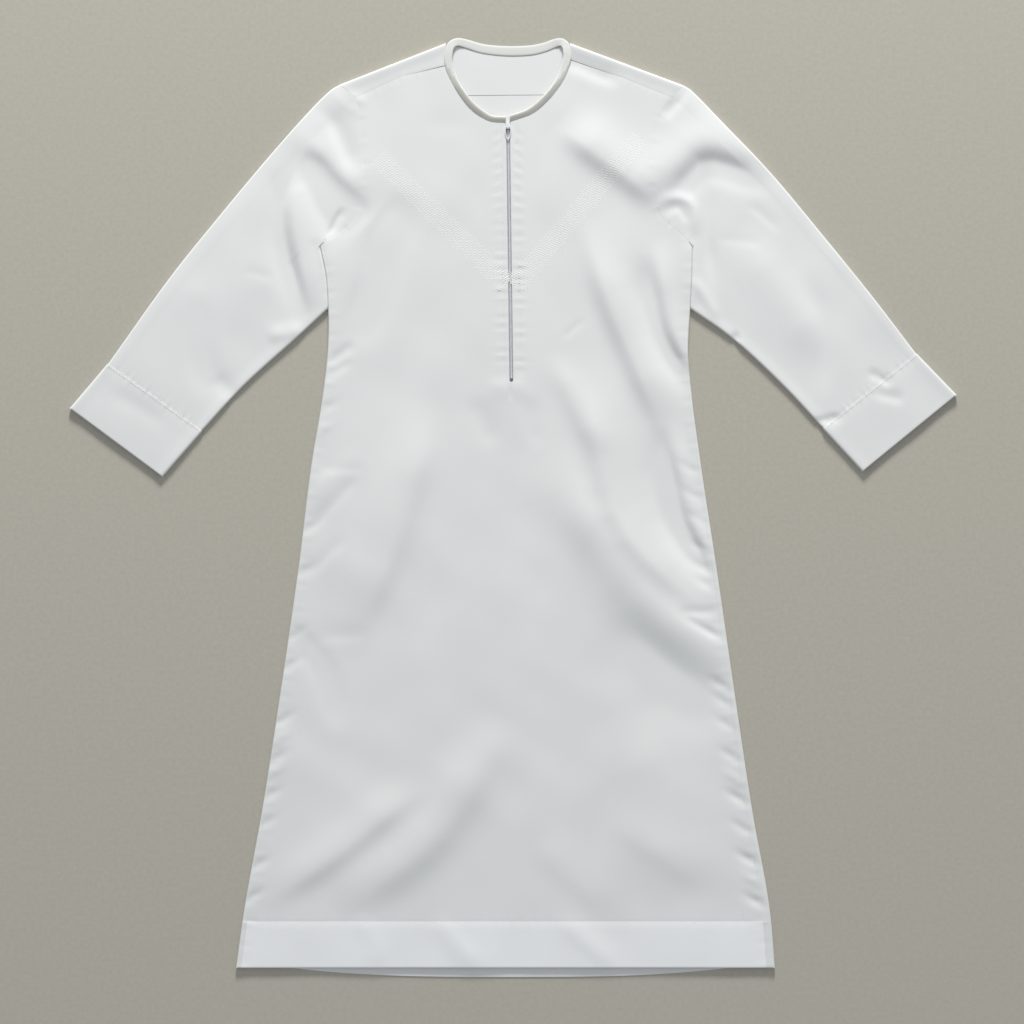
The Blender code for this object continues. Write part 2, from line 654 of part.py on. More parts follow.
def make_sleeve(sleeve, material):
    """A sleeve: a flattened tube from the armhole to the cuff's seam."""
    wall = Wall()
    to_body = np.array((-sleeve.side, 0.0))
    shoulder = np.array(sleeve.shoulder, float)
    root = sleeve_root(sleeve)
    corner = yoke_corner(sleeve)
    cuff = np.array((sleeve.top[-1], sleeve.under[-1]), float)
    cuff_line = unit(cuff[0] - cuff[1])

    tops = even_curve((shoulder, *sleeve.top), SLEEVE_LENGTH)
    top_out = plan_normals(tops) * -sleeve.side
    top_out = top_out * np.sign(top_out[:, 1:2])
    top_out[0] = unit(shoulder - corner)
    top_out[-1] = cuff_line
    tops[0] = tops[0] - to_body * SEAM

    unders = even_curve((root, *sleeve.under), SLEEVE_LENGTH)
    under_out = plan_normals(unders)
    under_out = under_out * -np.sign(under_out[:, 1:2])
    under_out[0] = unit(under_out[0] + to_body)
    under_out[-1] = -cuff_line

    side = "left" if sleeve.side < 0 else "right"
    heights = np.linspace(ARMPIT_Y, SLEEVE_MEETS_Y, BESIDE_SLEEVE + 1)[:-1]
    against = np.array([(side_at(y, side) + sleeve.side * GAP, y) for y in heights])

    inside_top = tops - top_out * FOLD_RADIUS
    inside_under = unders - under_out * FOLD_RADIUS
    inside_against = against - to_body * FOLD_RADIUS
    armhole = armhole_side(sleeve, False)[::-1]
    mouth = np.vstack((inside_top[:1], armhole, inside_against, inside_under[:1]))
    run = np.concatenate(([0], np.cumsum(np.linalg.norm(np.diff(mouth, axis=0), axis=1))))
    shares = run / run[-1]
    wrist = inside_top[-1] + (inside_under[-1] - inside_top[-1]) * shares[:, None]

    upper, lower = [], []
    for step in range(SLEEVE_LENGTH + 1):
        v = step / SLEEVE_LENGTH
        top_row, under_row = [], []
        for index, u in enumerate(shares):
            ruled = (1 - v) * mouth[index] + v * wrist[index]
            ruled = ruled + (1 - u) * inside_top[step] + u * inside_under[step]
            corners = (1 - u) * ((1 - v) * mouth[0] + v * wrist[0])
            corners = corners + u * ((1 - v) * mouth[-1] + v * wrist[-1])
            swing = ARMPIT_SWING * v * (1 - v) ** 2 * math.sin(math.pi * u**1.5) ** 2
            point = ruled - corners + np.array((0, swing))
            top_row.append(wall.upper(*point))
            under_row.append(wall.lower(*point))
        upper.append(top_row)
        lower.append(under_row)
    top_turn = []
    for step in range(SLEEVE_LENGTH + 1):
        turned = wall.turn(tops[step], top_out[step])
        top_turn.append([lower[step][0], *turned, upper[step][0]])
    under_turn = []
    for column, edge in enumerate(against, 1 + ARMHOLE):
        turned = wall.turn(edge, to_body)
        under_turn.append([lower[0][column], *turned, upper[0][column]])
    for step in range(SLEEVE_LENGTH + 1):
        turned = wall.turn(unders[step], under_out[step])
        under_turn.append([lower[step][-1], *turned, upper[step][-1]])
    wall.grid(upper)
    wall.grid(lower)
    wall.grid(top_turn)
    wall.grid(under_turn)
    return wall.build("sleeve_" + sleeve.name, material)


def make_cuff(sleeve, material):
    """A cuff: a doubled band round the sleeve's end."""
    wall = Wall()
    seam = np.array((sleeve.top[-1], sleeve.under[-1]), float)
    edge = np.array(sleeve.cuff_edge, float)
    across = unit(seam[0] - seam[1])
    along = unit(edge[0] - seam[0])
    seam = seam + np.array((across, -across)) * CUFF_STEP + along * GAP
    rings = []
    for step in range(CUFF_LENGTH + 1):
        ends = seam + (edge - seam) * step / CUFF_LENGTH
        outward = unit(ends[0] - ends[1])
        inside = (ends[0] - outward * CUFF_RADIUS, ends[1] + outward * CUFF_RADIUS)
        line = between(*inside, CUFF_ACROSS)
        under = [wall.lower(*point, CUFF_CLOTH) for point in line]
        over = [wall.upper(*point, CUFF_CLOTH, CUFF_RADIUS) for point in line]
        turned = [
            wall.turn(end, out, CUFF_CLOTH, CUFF_RADIUS)
            for end, out in zip(ends, (outward, -outward))
        ]
        rings.append([*under, *turned[1], *over[::-1], *turned[0][::-1], under[0]])
    wall.grid(rings)
    return wall.build("cuff_" + sleeve.name, material)


def make_binding(material):
    """The rolled band round the neck, open where the zip comes up."""
    points = []
    for (x, y, half, bottom), across in zip(NECK_LINE, NECK_ACROSS):
        for side in range(BINDING_SIDES):
            angle = 2 * math.pi * side / BINDING_SIDES
            wide, tall = math.cos(angle), math.sin(angle)
            out = math.copysign(abs(wide) ** BINDING_SQUARE[0], wide) * half
            up = math.copysign(abs(tall) ** BINDING_SQUARE[1], tall) * BINDING_DEPTH / 2
            spot = np.array((x, y)) + across * out
            points.append((*spot, bottom + BINDING_DEPTH / 2 + up))
    faces = []
    for ring in range(len(NECK_LINE) - 1):
        for side in range(BINDING_SIDES):
            here = ring * BINDING_SIDES + side
            beside = ring * BINDING_SIDES + (side + 1) % BINDING_SIDES
            faces.append((here, beside, beside + BINDING_SIDES, here + BINDING_SIDES))
    last = (len(NECK_LINE) - 1) * BINDING_SIDES
    faces.append(tuple(range(BINDING_SIDES)))
    faces.append(tuple(range(last + BINDING_SIDES - 1, last - 1, -1)))
    return solid("neck_binding", material, points, faces)


def make_block(name, size, centre, turn=0.0, material=None):
    """A box from the cube primitive, its size and centre in millimetres."""
    shape = bmesh.new()
    bmesh.ops.create_cube(shape, size=1)
    bmesh.ops.scale(shape, vec=[value * MM for value in size], verts=shape.verts)
    mesh = bpy.data.meshes.new(name)
    shape.to_mesh(mesh)
    shape.free()
    if material:
        mesh.materials.append(material)
    block = bpy.data.objects.new(name, mesh)
    block.location = [value * MM for value in centre]
    block.rotation_euler.z = turn
    return block


def zip_turn():
    return math.atan2(ZIP_FOOT[0] - ZIP_TOP[0], ZIP_TOP[1] - ZIP_FOOT[1])


def make_tapes(material):
    """The zip's two tapes, under the edges of the slit."""
    length = TAPE_ENDS_Y[1] - TAPE_ENDS_Y[0]
    middle = sum(TAPE_ENDS_Y) / 2
    for name, side in (("zip_tape_left", -1), ("zip_tape_right", 1)):
        x = zip_x(middle) + side * (TAPE_FROM_MIDDLE + TAPE[0] / 2)
        centre = (x, middle, TAPE_BOTTOM + TAPE[1] / 2)
        place(make_block(name, (TAPE[0], length, TAPE[1]), centre, zip_turn(), material))


def make_chain(material):
    """The closed row of teeth."""
    length = CHAIN_ENDS_Y[1] - CHAIN_ENDS_Y[0]
    middle = sum(CHAIN_ENDS_Y) / 2
    centre = (zip_x(middle), middle, CHAIN_BOTTOM + CHAIN[1] / 2)
    place(make_block("zip_chain", (CHAIN[0], length, CHAIN[1]), centre, zip_turn(), material))


def join_by_union(main, others):
    """Unions the other blocks into the first, and keeps them as hidden tools."""
    for other in others:
        TOOLS.objects.link(other)
        other.hide_render = True
        other.display_type = "WIRE"
        union = main.modifiers.new("join " + other.name, "BOOLEAN")
        union.operation = "UNION"
        union.object = other
    return main


def make_slider(material):
    """The slider: two wings joined by a wedge round the chain, lips along them, and a bridge on top."""
    x = zip_x(SLIDER_Y)
    wide, long = SLIDER
    wing = SLIDER_WING
    low = SLIDER_BOTTOM + wing / 2
    high = SLIDER_TOP - wing / 2
    slider = make_block("zip_slider", (wide, long, wing), (x, SLIDER_Y, high), 0, material)
    parts = [make_block("slider_lower_wing", (wide, long, wing), (x, SLIDER_Y, low))]
    wedge_y = SLIDER_Y + long / 2 - WEDGE[1] / 2
    parts.append(make_block("slider_wedge", (*WEDGE, high - low), (x, wedge_y, (low + high) / 2)))
    lip, rise = SLIDER_LIP
    for side in (-1, 1):
        lip_x = x + side * (wide / 2 - lip / 2)
        for name, z in (("upper", high - wing / 2), ("lower", low + wing / 2)):
            size = (lip, long * LIP_SHARE, rise * 2)
            parts.append(make_block(f"slider_lip_{name}_{side}", size, (lip_x, SLIDER_Y, z)))
    bridge_z = SLIDER_TOP + BRIDGE[2] / 2 - BRIDGE_SINK
    bridge = make_block("slider_bridge", BRIDGE, (x, PULL_Y, bridge_z))
    shape = bmesh.new()
    radius = BRIDGE_HOLE * MM
    depth = BRIDGE[0] * 2 * MM
    bmesh.ops.create_cone(shape, cap_ends=True, segments=12, radius1=radius, radius2=radius, depth=depth)
    mesh = bpy.data.meshes.new("slider_bridge_hole")
    shape.to_mesh(mesh)
    shape.free()
    hole = bpy.data.objects.new("slider_bridge_hole", mesh)
    hole.location = (x * MM, PULL_Y * MM, PULL_Z * MM)
    hole.rotation_euler.y = math.pi / 2
    hole.hide_render = True
    hole.display_type = "WIRE"
    TOOLS.objects.link(hole)
    place(slider)
    join_by_union(slider, [*parts, bridge])
    cut = slider.modifiers.new("hole for the pull", "BOOLEAN")
    cut.operation = "DIFFERENCE"
    cut.object = hole
    return slider


def make_pull(material):
    """The pull tab: a tapered loop of wire through the slider's bridge, lying flat."""
    half = even_curve(PULL_LOOP, 9)
    other = half[-2::-1] * np.array((-1, 1))
    loop = np.vstack((half, other))
    curve = bpy.data.curves.new("zip_pull", "CURVE")
    curve.dimensions = "3D"
    curve.bevel_depth = PULL_WIRE * MM
    curve.bevel_resolution = 1
    spline = curve.splines.new("POLY")
    spline.points.add(len(loop) - 1)
    for spot, (x, y) in zip(spline.points, loop):
        spot.co = (x * MM, y * MM, 0, 1)
    spline.use_cyclic_u = True
    curve.materials.append(material)
    pull = bpy.data.objects.new("zip_pull", curve)
    pull.location = (zip_x(PULL_Y) * MM, PULL_Y * MM, PULL_Z * MM)
    return place(pull)


def clear_scene():
    for thing in list(bpy.data.objects):
        bpy.data.objects.remove(thing, do_unlink=True)


def make_collection(name):
    collection = bpy.data.collections.new(name)
    bpy.context.scene.collection.children.link(collection)
    return collection


clear_scene()
ROBE = make_collection("thobe_robe")
TOOLS = make_collection("tools")
TOOLS.hide_render = True

white_cloth = make_material("white_cloth", (0.80, 0.81, 0.80), 0.72)
band_cloth = make_material("band_cloth", (0.78, 0.78, 0.75), 0.78)
zip_tape = make_material("zip_tape", (0.72, 0.74, 0.75), 0.8)
zip_metal = make_material("zip_metal", (0.55, 0.57, 0.59), 0.32, 1.0)

make_front(white_cloth)
make_back(white_cloth)
make_yoke(white_cloth)
for robe_sleeve in SLEEVES:
    make_sleeve(robe_sleeve, white_cloth)
    make_cuff(robe_sleeve, band_cloth)
make_binding(band_cloth)
make_tapes(zip_tape)
make_chain(zip_metal)
make_slider(zip_metal)
make_pull(zip_metal)
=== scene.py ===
"""Looks of the long white robe laid flat: cloth, sewing, embroidery, zip, floor, light and camera.

Units in the tables are millimetres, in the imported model's frame: X to the right of someone looking down at
the robe's front, Y from the hem to the neck, Z up from the floor. The robe's own tables and height
functions are those of the solids, with finer grids and small creases added.
"""

import math
from collections import namedtuple

import bmesh
import bpy
import numpy as np
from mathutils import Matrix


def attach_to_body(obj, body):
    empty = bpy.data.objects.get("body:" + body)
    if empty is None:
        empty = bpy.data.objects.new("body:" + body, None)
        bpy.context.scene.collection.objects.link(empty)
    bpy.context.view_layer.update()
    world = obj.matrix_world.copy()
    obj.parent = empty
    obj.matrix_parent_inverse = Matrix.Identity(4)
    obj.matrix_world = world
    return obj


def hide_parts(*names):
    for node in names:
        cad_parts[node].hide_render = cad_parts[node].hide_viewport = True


MM = 0.001

# Cloth
CLOTH = 1.3
HEM_CLOTH = 1.55
HEM_STEP = (2, 12)  # the hem's double cloth starts this far above its seam and thickens over this length
CUFF_CLOTH = 2.0
SHELL = 0.8  # how thick the visible shells are
RIM_ANGLE = 60  # degrees from which an edge of a shell stays sharp
PIECE_ANGLE = 50  # the same for the binding, the stitches and the teeth
GAP = 0.3
FOLD_RADIUS = 2.5
CUFF_RADIUS = 3.0
CUFF_STEP = 0.8  # how far the cuff starts inside the sleeve's outline
CUFF_RISE = 0.35  # how much lower the cuff starts at its seam
CUFF_BLEND = 16  # length over which it reaches its height
ARMPIT_SWING = 170
EDGE_STEPS = np.array((0, 0.35, 0.9, 1.8, 3.2))  # rows close together at a cut edge
EDGE_ROLL = 1.0  # how far a cut edge turns down
EDGE_ROLL_WIDTH = 1.8
SEAM_STEPS = np.array((-3.2, -1.8, -0.9, 0, 0.9, 1.8, 3.2))  # rows close together at a seam

# Lengths along the robe
ARMPIT_Y = 391
SLEEVE_MEETS_Y = 298
ZIP_END_Y = 188
HEM_SEAM_Y = -620
HEM_EDGE_Y = -690
BACK_HEM_DROP = 14
BACK_HEM_HALF = 330
BACK_HEM_MIDDLE = -5
HEM_COLOUR_DROP = 1  # the hem's lighter cloth starts this far below its seam
BACK_SEAM = 0.85  # the gap at the back yoke's seam, which shows as a thin line

# Stations: how finely each stretch is divided
ROW_STEP = 4.5
ARMHOLE = 60
SLIT = 32
NECK_FRONT = ARMHOLE - SLIT
NECK_CORNER = 16
NECK_BACK = 34
EDGE_COLUMNS = 16
EDGE_COLUMN_STEP = 2.6
MIDDLE_COLUMNS = 44
BACK_COLUMNS = 56
SHOULDER = 36
YOKE_DEPTH = 8
BESIDE_SLEEVE = 20
SLEEVE_LENGTH = 116
FOLD_ARC = 8
CUFF_ACROSS = 64
CUFF_LENGTH = 24
SIDE_SHARES = (0, 0.34, 0.67, 1)
CLOSING = np.array((0.06, 0.25, 0.5, 0.75))  # shares of a fold's width where it narrows to the armhole
CURVE_STEPS = 12
FOLD_STEPS = 12
SIDE_STEPS = 25
TOP_STEPS = 14
UNDER_STEPS = 10
ARMHOLE_STEPS = 24
SEAM_POINTS = 60

# The body's outline: the two side folds, and how far in from each its side seam lies
Side = namedtuple("Side", "y left right seam_left seam_right")
SIDES = (
    Side(391, -290, 268, 4, 4),
    Side(345, -281, 267, 4, 4),
    Side(298, -278, 265, 4, 4),
    Side(230, -279, 262, 4, 4.5),
    Side(161, -287, 268, 4, 5),
    Side(71, -302, 280, 4, 6),
    Side(-94, -323, 305, 4.5, 8),
    Side(-274, -349, 331, 5.5, 10),
    Side(-454, -377, 358, 6.5, 12),
    Side(-617, -406, 386, 8, 13),
    Side(-690, -416, 392, 8, 13),
)

# Each sleeve: the shoulder point, the fold along its top, the fold along its underside from where it
# leaves the body, and the two ends of the cuff's seam and of the cuff's own edge
Sleeve = namedtuple("Sleeve", "name side shoulder top under cuff_edge armhole yoke_bend neck_x neck_y")
SLEEVES = (
    Sleeve(
        "left", -1, (-260, 634),
        ((-277, 623), (-310, 590), (-371, 521), (-446, 431), (-518, 341), (-608, 215)),
        ((-329, 251), (-403, 184), (-467, 115)),
        ((-665, 149), (-526, 46)),
        ((-283, 399), (-261, 413), (-241, 430), (-229, 463), (-224, 503), (-227, 571), (-236, 614)),
        (-165, 647), -103.3, 663,
    ),
    Sleeve(
        "right", 1, (254, 633),
        ((270, 622), (310, 581), (388, 499), (463, 409), (536, 319), (604, 230)),
        ((331, 251), (403, 184), (464, 119)),
        ((664, 169), (523, 54)),
        ((262, 399), (240, 419), (217, 441), (208, 482), (209, 523), (219, 583), (238, 614)),
        (161, 645), 86.3, 672,
    ),
)
SHOULDER_NECK_Y = 696
BACK_YOKE_Y = (618, 619.5)

# The neck's binding: the middle of its band, half its width, and its lowest height
Neck = namedtuple("Neck", "x y half bottom")
NECK = (
    Neck(-11.85, 580.8, 6, 4.4),
    Neck(-33, 582, 6, 4.2),
    Neck(-49, 591, 6, 3.9),
    Neck(-67, 607, 6, 3.9),
    Neck(-85, 633, 6, 3.9),
    Neck(-97, 663, 6, 3.9),
    Neck(-97.3, 681, 6, 3.9),
    Neck(-93.5, 693, 6, 3.3),
    Neck(-84, 697.8, 6, 2.1),
    Neck(-71, 695.5, 6.5, 0.5),
    Neck(-46, 688, 7, 0),
    Neck(-11, 684.5, 7.5, 0),
    Neck(24, 685.5, 7.5, 0),
    Neck(46, 690, 7, 0),
    Neck(60, 695.5, 6.5, 0.5),
    Neck(71, 697.8, 6, 2.1),
    Neck(78.5, 692, 6, 3.3),
    Neck(80.2, 682, 6, 3.9),
    Neck(80, 672, 6, 3.9),
    Neck(72, 648, 6, 3.9),
    Neck(60, 627, 6, 3.9),
    Neck(43, 608, 6, 3.9),
    Neck(22, 592, 6, 4.2),
    Neck(-4.65, 582.5, 6, 4.4),
)
# Its stretches, front left to front right: the row each runs to, and its number of steps
NECK_STRETCHES = ((5, NECK_FRONT), (9, NECK_CORNER), (14, NECK_BACK), (18, NECK_CORNER), (23, NECK_FRONT))
# The binding's section, outer edge to inner edge and back underneath: places across as shares of its half
# width, with heights over its bottom where it rolls up at the front, and where it lies flat elsewhere
BINDING_ROLLED = (
    (-0.80, 0.6), (-0.76, 1.3), (-0.5, 1.9), (-0.2, 2.6), (0.1, 3.2), (0.35, 3.6), (0.58, 3.7), (0.78, 3.4),
    (0.9, 2.7), (0.94, 1.8), (0.86, 0.8), (0.6, 0.0), (0.0, 0.0), (-0.6, 0.0),
)
BINDING_FLAT = (
    (-1.0, 0.5), (-0.98, 1.3), (-0.85, 1.75), (-0.5, 1.85), (0.0, 1.85), (0.4, 1.85), (0.75, 1.8),
    (0.93, 1.5), (1.0, 1.1), (1.0, 0.7), (0.95, 0.3), (0.6, 0.0), (0.0, 0.0), (-0.6, 0.0),
)
ROLL_Y = (658, 30)  # it is rolled below this height, and turns flat over this length
SHADED_Y = (608, 640, 692)  # heights between which the painted shade, greyer cloth on the rolled front's outer sides, dies away
SHADED_SIDES = (8, 5, 0)  # how many of its sides, from the outer edge, carry that painted shade at these heights
NECK_UNDER = 1.6  # how far the cloth's edge runs in under the binding
Twist = namedtuple("Twist", "x y reach depth")
TWISTS = (
    Twist(-35, 584, 14, 0.16), Twist(-91, 641, 12, 0.14),
    Twist(-80, 697, 12, 0.12), Twist(70, 697, 12, 0.14),
)
TWIST_EVERYWHERE = 0.03
TWIST_WAVES = (0.75, 0.55)  # radians for each millimetre along the binding, and across it

# The zip
ZIP_TOP = (-8.25, 575)
ZIP_FOOT = (-3.2, 190)
SLIT_HALF = 3.6
SLIT_NARROW = 2.8  # the slit's half width below the slider, where the cloth closes in over the chain
SLIT_WIDENS = (546, 14)  # where it starts to widen, and over which length
SLIT_TOP_DROP = 0.8
SLIT_FOOT_STEP = 1.5
ZIP_HEIGHT = 4.4
ZIP_FLAT = 19
ZIP_BLEND = 36
ZIP_BELOW = 60
ZIP_BELOW_BLEND = 45
CHAIN_ENDS_Y = (194, 567)
CHAIN_BOTTOM = 2.8
CHAIN_RISE = 0.8
TOOTH_PITCH = 1.5
TOOTH = (2.9, 0.85, 1.7)
TOOTH_PAST_MIDDLE = 0.6
TOOTH_INNER = (0.62, 0.82)  # shares of its length, as half of it, and of its height at the inner end
TOOTH_OUTER = (0.5, 0.7)
TOOTH_CROWN = (0.5, 0.75, 0.2)  # how long the crown is, where it starts, and how far it stands up

# Folds: a trough or ridge along a curve through four points, its half widths to the right and to the left
# of the way along it, and its height
Fold = namedtuple("Fold", "name start first second end right left rise")
FOLDS = (
    Fold("sweep ridge", (52, 105), (112, -18), (196, -130), (350, -270), 42, 36, 8.5),
    Fold("sweep foot", (150, -150), (205, -220), (262, -272), (345, -330), 60, 34, -3.5),
    Fold("side sweep ridge", (108, 245), (128, 90), (178, -48), (330, -185), 22, 44, 7),
    Fold("belly ridge", (108, 440), (138, 325), (180, 225), (238, 90), 18, 42, 7.5),
    Fold("waist trough", (194, 385), (208, 300), (228, 240), (285, 160), 24, 13, -5),
    Fold("waist ridge", (214, 405), (230, 305), (249, 245), (298, 178), 13, 20, 4.8),
    Fold("side hollow", (216, 125), (234, 32), (250, -30), (310, -135), 26, 13, -5.5),
    Fold("side hollow ridge", (236, 140), (257, 35), (273, -25), (330, -120), 13, 16, 3.4),
    Fold("zip foot ridge", (60, 235), (80, 180), (104, 130), (130, 70), 16, 22, 2.5),
    Fold("right slope", (160, -300), (205, -400), (228, -490), (246, -600), 80, 80, 4.5),
    Fold("left skirt ridge", (-122, 165), (-152, 45), (-186, -68), (-245, -205), 55, 24, 6),
    Fold("left side ridge", (-345, -20), (-300, 18), (-262, 50), (-215, 84), 26, 18, 1.5),
    Fold("left knee trough", (-350, -172), (-308, -212), (-278, -258), (-262, -345), 18, 16, -3.5),
    Fold("left shin ridge", (-118, -402), (-200, -466), (-262, -516), (-385, -600), 34, 20, 4.8),
    Fold("left foot ridge", (-20, -305), (-75, -430), (-140, -514), (-275, -612), 44, 30, 6.5),
    Fold("right hem ridge", (140, -462), (196, -502), (236, -528), (300, -576), 20, 30, 1.3),
    Fold("middle hem ridge", (30, -490), (72, -540), (100, -566), (150, -612), 20, 30, 1.3),
    Fold("chest ridge", (64, 578), (126, 530), (176, 494), (226, 448), 20, 40, 6.5),
    Fold("left chest trough", (-160, 480), (-196, 392), (-212, 328), (-250, 226), 20, 30, -5.5),
    Fold("left sleeve trough", (-314, 580), (-347, 484), (-346, 398), (-306, 266), 24, 12, -4.5),
    Fold("left sleeve ridge", (-302, 566), (-322, 480), (-323, 400), (-290, 266), 15, 42, 4.8),
    Fold("left armhole trough", (-330, 538), (-298, 503), (-273, 472), (-214, 424), 40, 17, -8.5),
    Fold("left elbow ridge", (-352, 540), (-382, 430), (-398, 340), (-412, 240), 34, 50, 3),
    Fold("left forearm trough", (-470, 330), (-474, 270), (-462, 205), (-420, 158), 22, 20, -2.5),
    Fold("right sleeve ridge", (208, 448), (245, 515), (291, 547), (408, 505), 26, 34, 5),
    Fold("right sleeve trough", (224, 440), (266, 493), (304, 510), (400, 474), 18, 20, -4.5),
    Fold("right elbow ridge", (330, 420), (368, 360), (425, 290), (480, 215), 40, 34, 3.5),
    Fold("right forearm trough", (440, 360), (462, 280), (466, 220), (460, 160), 16, 16, -2),
    Fold("hem band left ridge", (-240, -606), (-218, -634), (-206, -660), (-200, -700), 18, 14, 1.2),
    Fold("hem band middle ridge", (-125, -606), (-96, -640), (-78, -662), (-42, -700), 18, 14, 1.3),
    Fold("hem band right ridge", (62, -606), (96, -640), (122, -662), (165, -700), 14, 18, 1.3),
)
REST_LIFT = 1.6
LIFT_SOFTNESS = 1.0
FOLD_FADE = 0.32
FOLD_FAR = 2.8
EDGE_REACH = 10
EDGE_CALMS = 0.6

# Small creases that only the visible cloth has, in the same columns as the folds
CREASES = (
    Fold("right upper arm trough", (287, 545), (290, 475), (293, 400), (304, 310), 9, 9, -1.9),
    Fold("right armpit ridge", (204, 440), (236, 464), (268, 452), (272, 392), 7, 9, 1.9),
    Fold("right armpit pocket", (224, 436), (238, 448), (250, 447), (262, 424), 6, 6, -1),
    Fold("left side crease", (-312, -45), (-288, -14), (-262, 14), (-222, 58), 8, 12, -0.9),
    Fold("left lower side crease", (-320, -112), (-298, -92), (-276, -68), (-246, -40), 8, 12, -0.8),
    Fold("tick crease", (72, 250), (85, 262), (94, 271), (108, 284), 3, 5, -0.6),
    Fold("left armhole bank", (-318, 570), (-280, 526), (-252, 494), (-206, 450), 15, 34, 2.4),
    Fold("left armhole crease", (-252, 452), (-263, 436), (-270, 422), (-280, 402), 5, 7, -1.6),
    Fold("right sleeve crease", (300, 403), (328, 400), (350, 398), (380, 394), 6, 10, -0.4),
    Fold("right elbow crease", (345, 458), (366, 444), (382, 430), (405, 412), 6, 10, -0.6),
    Fold("left sleeve crease", (-408, 356), (-392, 351), (-376, 347), (-356, 340), 5, 9, -0.4),
    Fold("left tonal step", (-305, -194), (-270, -193), (-245, -192), (-212, -190), 9, 16, -0.6),
    Fold("left upper tonal step", (-300, 58), (-270, 57), (-245, 57), (-215, 55), 6, 12, -0.6),
    Fold("right side crease", (240, -158), (262, -157), (282, -157), (312, -158), 5, 8, -1.2),
    Fold("right side branch", (244, -158), (266, -170), (284, -181), (312, -198), 6, 5, -1.2),
    Fold("waist puckers", (-238, 250), (-252, 236), (-262, 228), (-284, 216), 7, 9, -1.4),
    Fold("waist pucker below", (-240, 222), (-254, 212), (-264, 206), (-286, 196), 6, 7, -0.9),
    Fold("below zip dark", (-60, 170), (-52, 140), (-40, 112), (-20, 90), 14, 18, -0.8),
    Fold("below zip bright", (-46, 186), (-24, 182), (-4, 181), (26, 186), 16, 9, 0.8),
    Fold("below zip right", (8, 172), (22, 148), (26, 120), (40, 84), 12, 16, -0.7),
    Fold("below zip crease", (-5, 186), (-5, 178), (-4.5, 171), (-4, 160), 2, 2, -0.9),
    Fold("left shoulder trough", (-284, 608), (-266, 570), (-252, 536), (-236, 492), 12, 16, -2.8),
    Fold("left shoulder pucker", (-262, 634), (-246, 620), (-236, 612), (-214, 604), 7, 7, 0.8),
    Fold("left shoulder lower pucker", (-272, 622), (-254, 606), (-240, 596), (-222, 590), 7, 7, 0.7),
    Fold("right shoulder pucker", (262, 622), (246, 608), (236, 598), (224, 580), 8, 7, -1.6),
    Fold("right shoulder trough", (62, 676), (108, 658), (130, 648), (168, 636), 10, 14, -2.0),
    Fold("right under fold pucker", (262, 348), (280, 326), (292, 306), (312, 276), 8, 9, 1.6),
    Fold("right under notch", (340, 262), (334, 256), (328, 248), (322, 238), 7, 7, -1.8),
    Fold("right wrist notch", (500, 138), (478, 134), (462, 130), (440, 126), 6, 8, -1.6),
    Fold("left wrist pucker", (-450, 200), (-438, 188), (-426, 176), (-410, 160), 13, 13, -1.1),
    Fold("left under pucker", (-372, 250), (-356, 258), (-338, 262), (-312, 272), 10, 12, 1.8),
    Fold("right cuff spot", (528, 206), (545, 196), (556, 190), (572, 186), 7, 8, -1.5),
    Fold("right cuff lower spot", (536, 178), (550, 170), (566, 166), (590, 160), 8, 10, -1.3),
    Fold("left cuff dip", (-612, 178), (-580, 160), (-548, 142), (-512, 118), 14, 16, -0.8),
    Fold("chest cross crease", (-140, 576), (-110, 574), (-90, 574), (-52, 572), 12, 16, -0.25),
)
# Short puckers beside the side seams: the height of the middle, and the rise
PUCKERS = {
    "left": (
        (-190, -0.9), (-235, -1.0), (-318, -1.3), (-345, 0.8), (-375, -1.1), (-395, 0.8), (-430, -1.2),
        (-472, -1.0), (-535, -1.3), (-583, -1.4), (150, -0.7), (118, 0.6), (-30, -0.8), (-95, -0.8),
    ),
    "right": (
        (-60, -1.0), (-90, -0.9), (-115, -1.0), (-188, -1.2), (-265, -1.4), (-290, -1.1), (-325, -1.2),
        (-372, -1.4), (-405, 0.9), (-435, -1.9), (-480, -1.4), (-527, -2.0), (-558, 0.9), (-590, -1.9),
        (60, -0.8), (20, -0.9), (-15, -0.8),
    ),
}
PUCKER_INSET = {"left": 10, "right": 20}
PUCKER_HALF = (15, 7)
PUCKER_LEAN = 0.5

# Each kind of seam: how deep its groove is, how high its puckers are, and how far they reach
SeamLook = namedtuple("SeamLook", "groove pucker reach")
SIDE_SEAM = SeamLook(0.2, 0.3, 12)
HEM_SEAM = SeamLook(0.12, 0.3, 8)
ARMHOLE_SEAM = SeamLook(0.1, 0.25, 7)
YOKE_SEAM = SeamLook(0.15, 0.15, 7)
CUFF_SEAM = SeamLook(0.15, 0.3, 8)
SEAM_WAVES = (9.5, 13.0, 21.0)
SEAM_PHASE = 0.6
PHASE_STEP = 1.7  # what parts the phases of one seam's waves
GROOVE_HALF = 1.3

# The strip beside the zip: its two rows of stitches, and the puckers that they draw up
TOPSTITCH_OFFSETS = (-10.5, 12.5)
TOPSTITCH_GROOVE = (0.55, 1.8)
PLACKET_RISE = 0.62
PLACKET_WAVES = (8.5, 12.5, 17.0)
PLACKET_PHASE = 3.3
PLACKET_SHIFT = 14.7
PLACKET_MIDDLE = 13
PLACKET_REACH = 10
PLACKET_FADE = 20
PLACKET_TOP = 6

# The slight unevenness of cloth smoothed out by hand
SEED = 11
WAVES = np.random.default_rng(SEED).uniform(-1, 1, (14, 4))
WAVE_LENGTH = (70, 60)
WAVE_BEND = (0.8, 260, 9)
WAVE_PHASE = 7
WAVE_RISE = 0.07

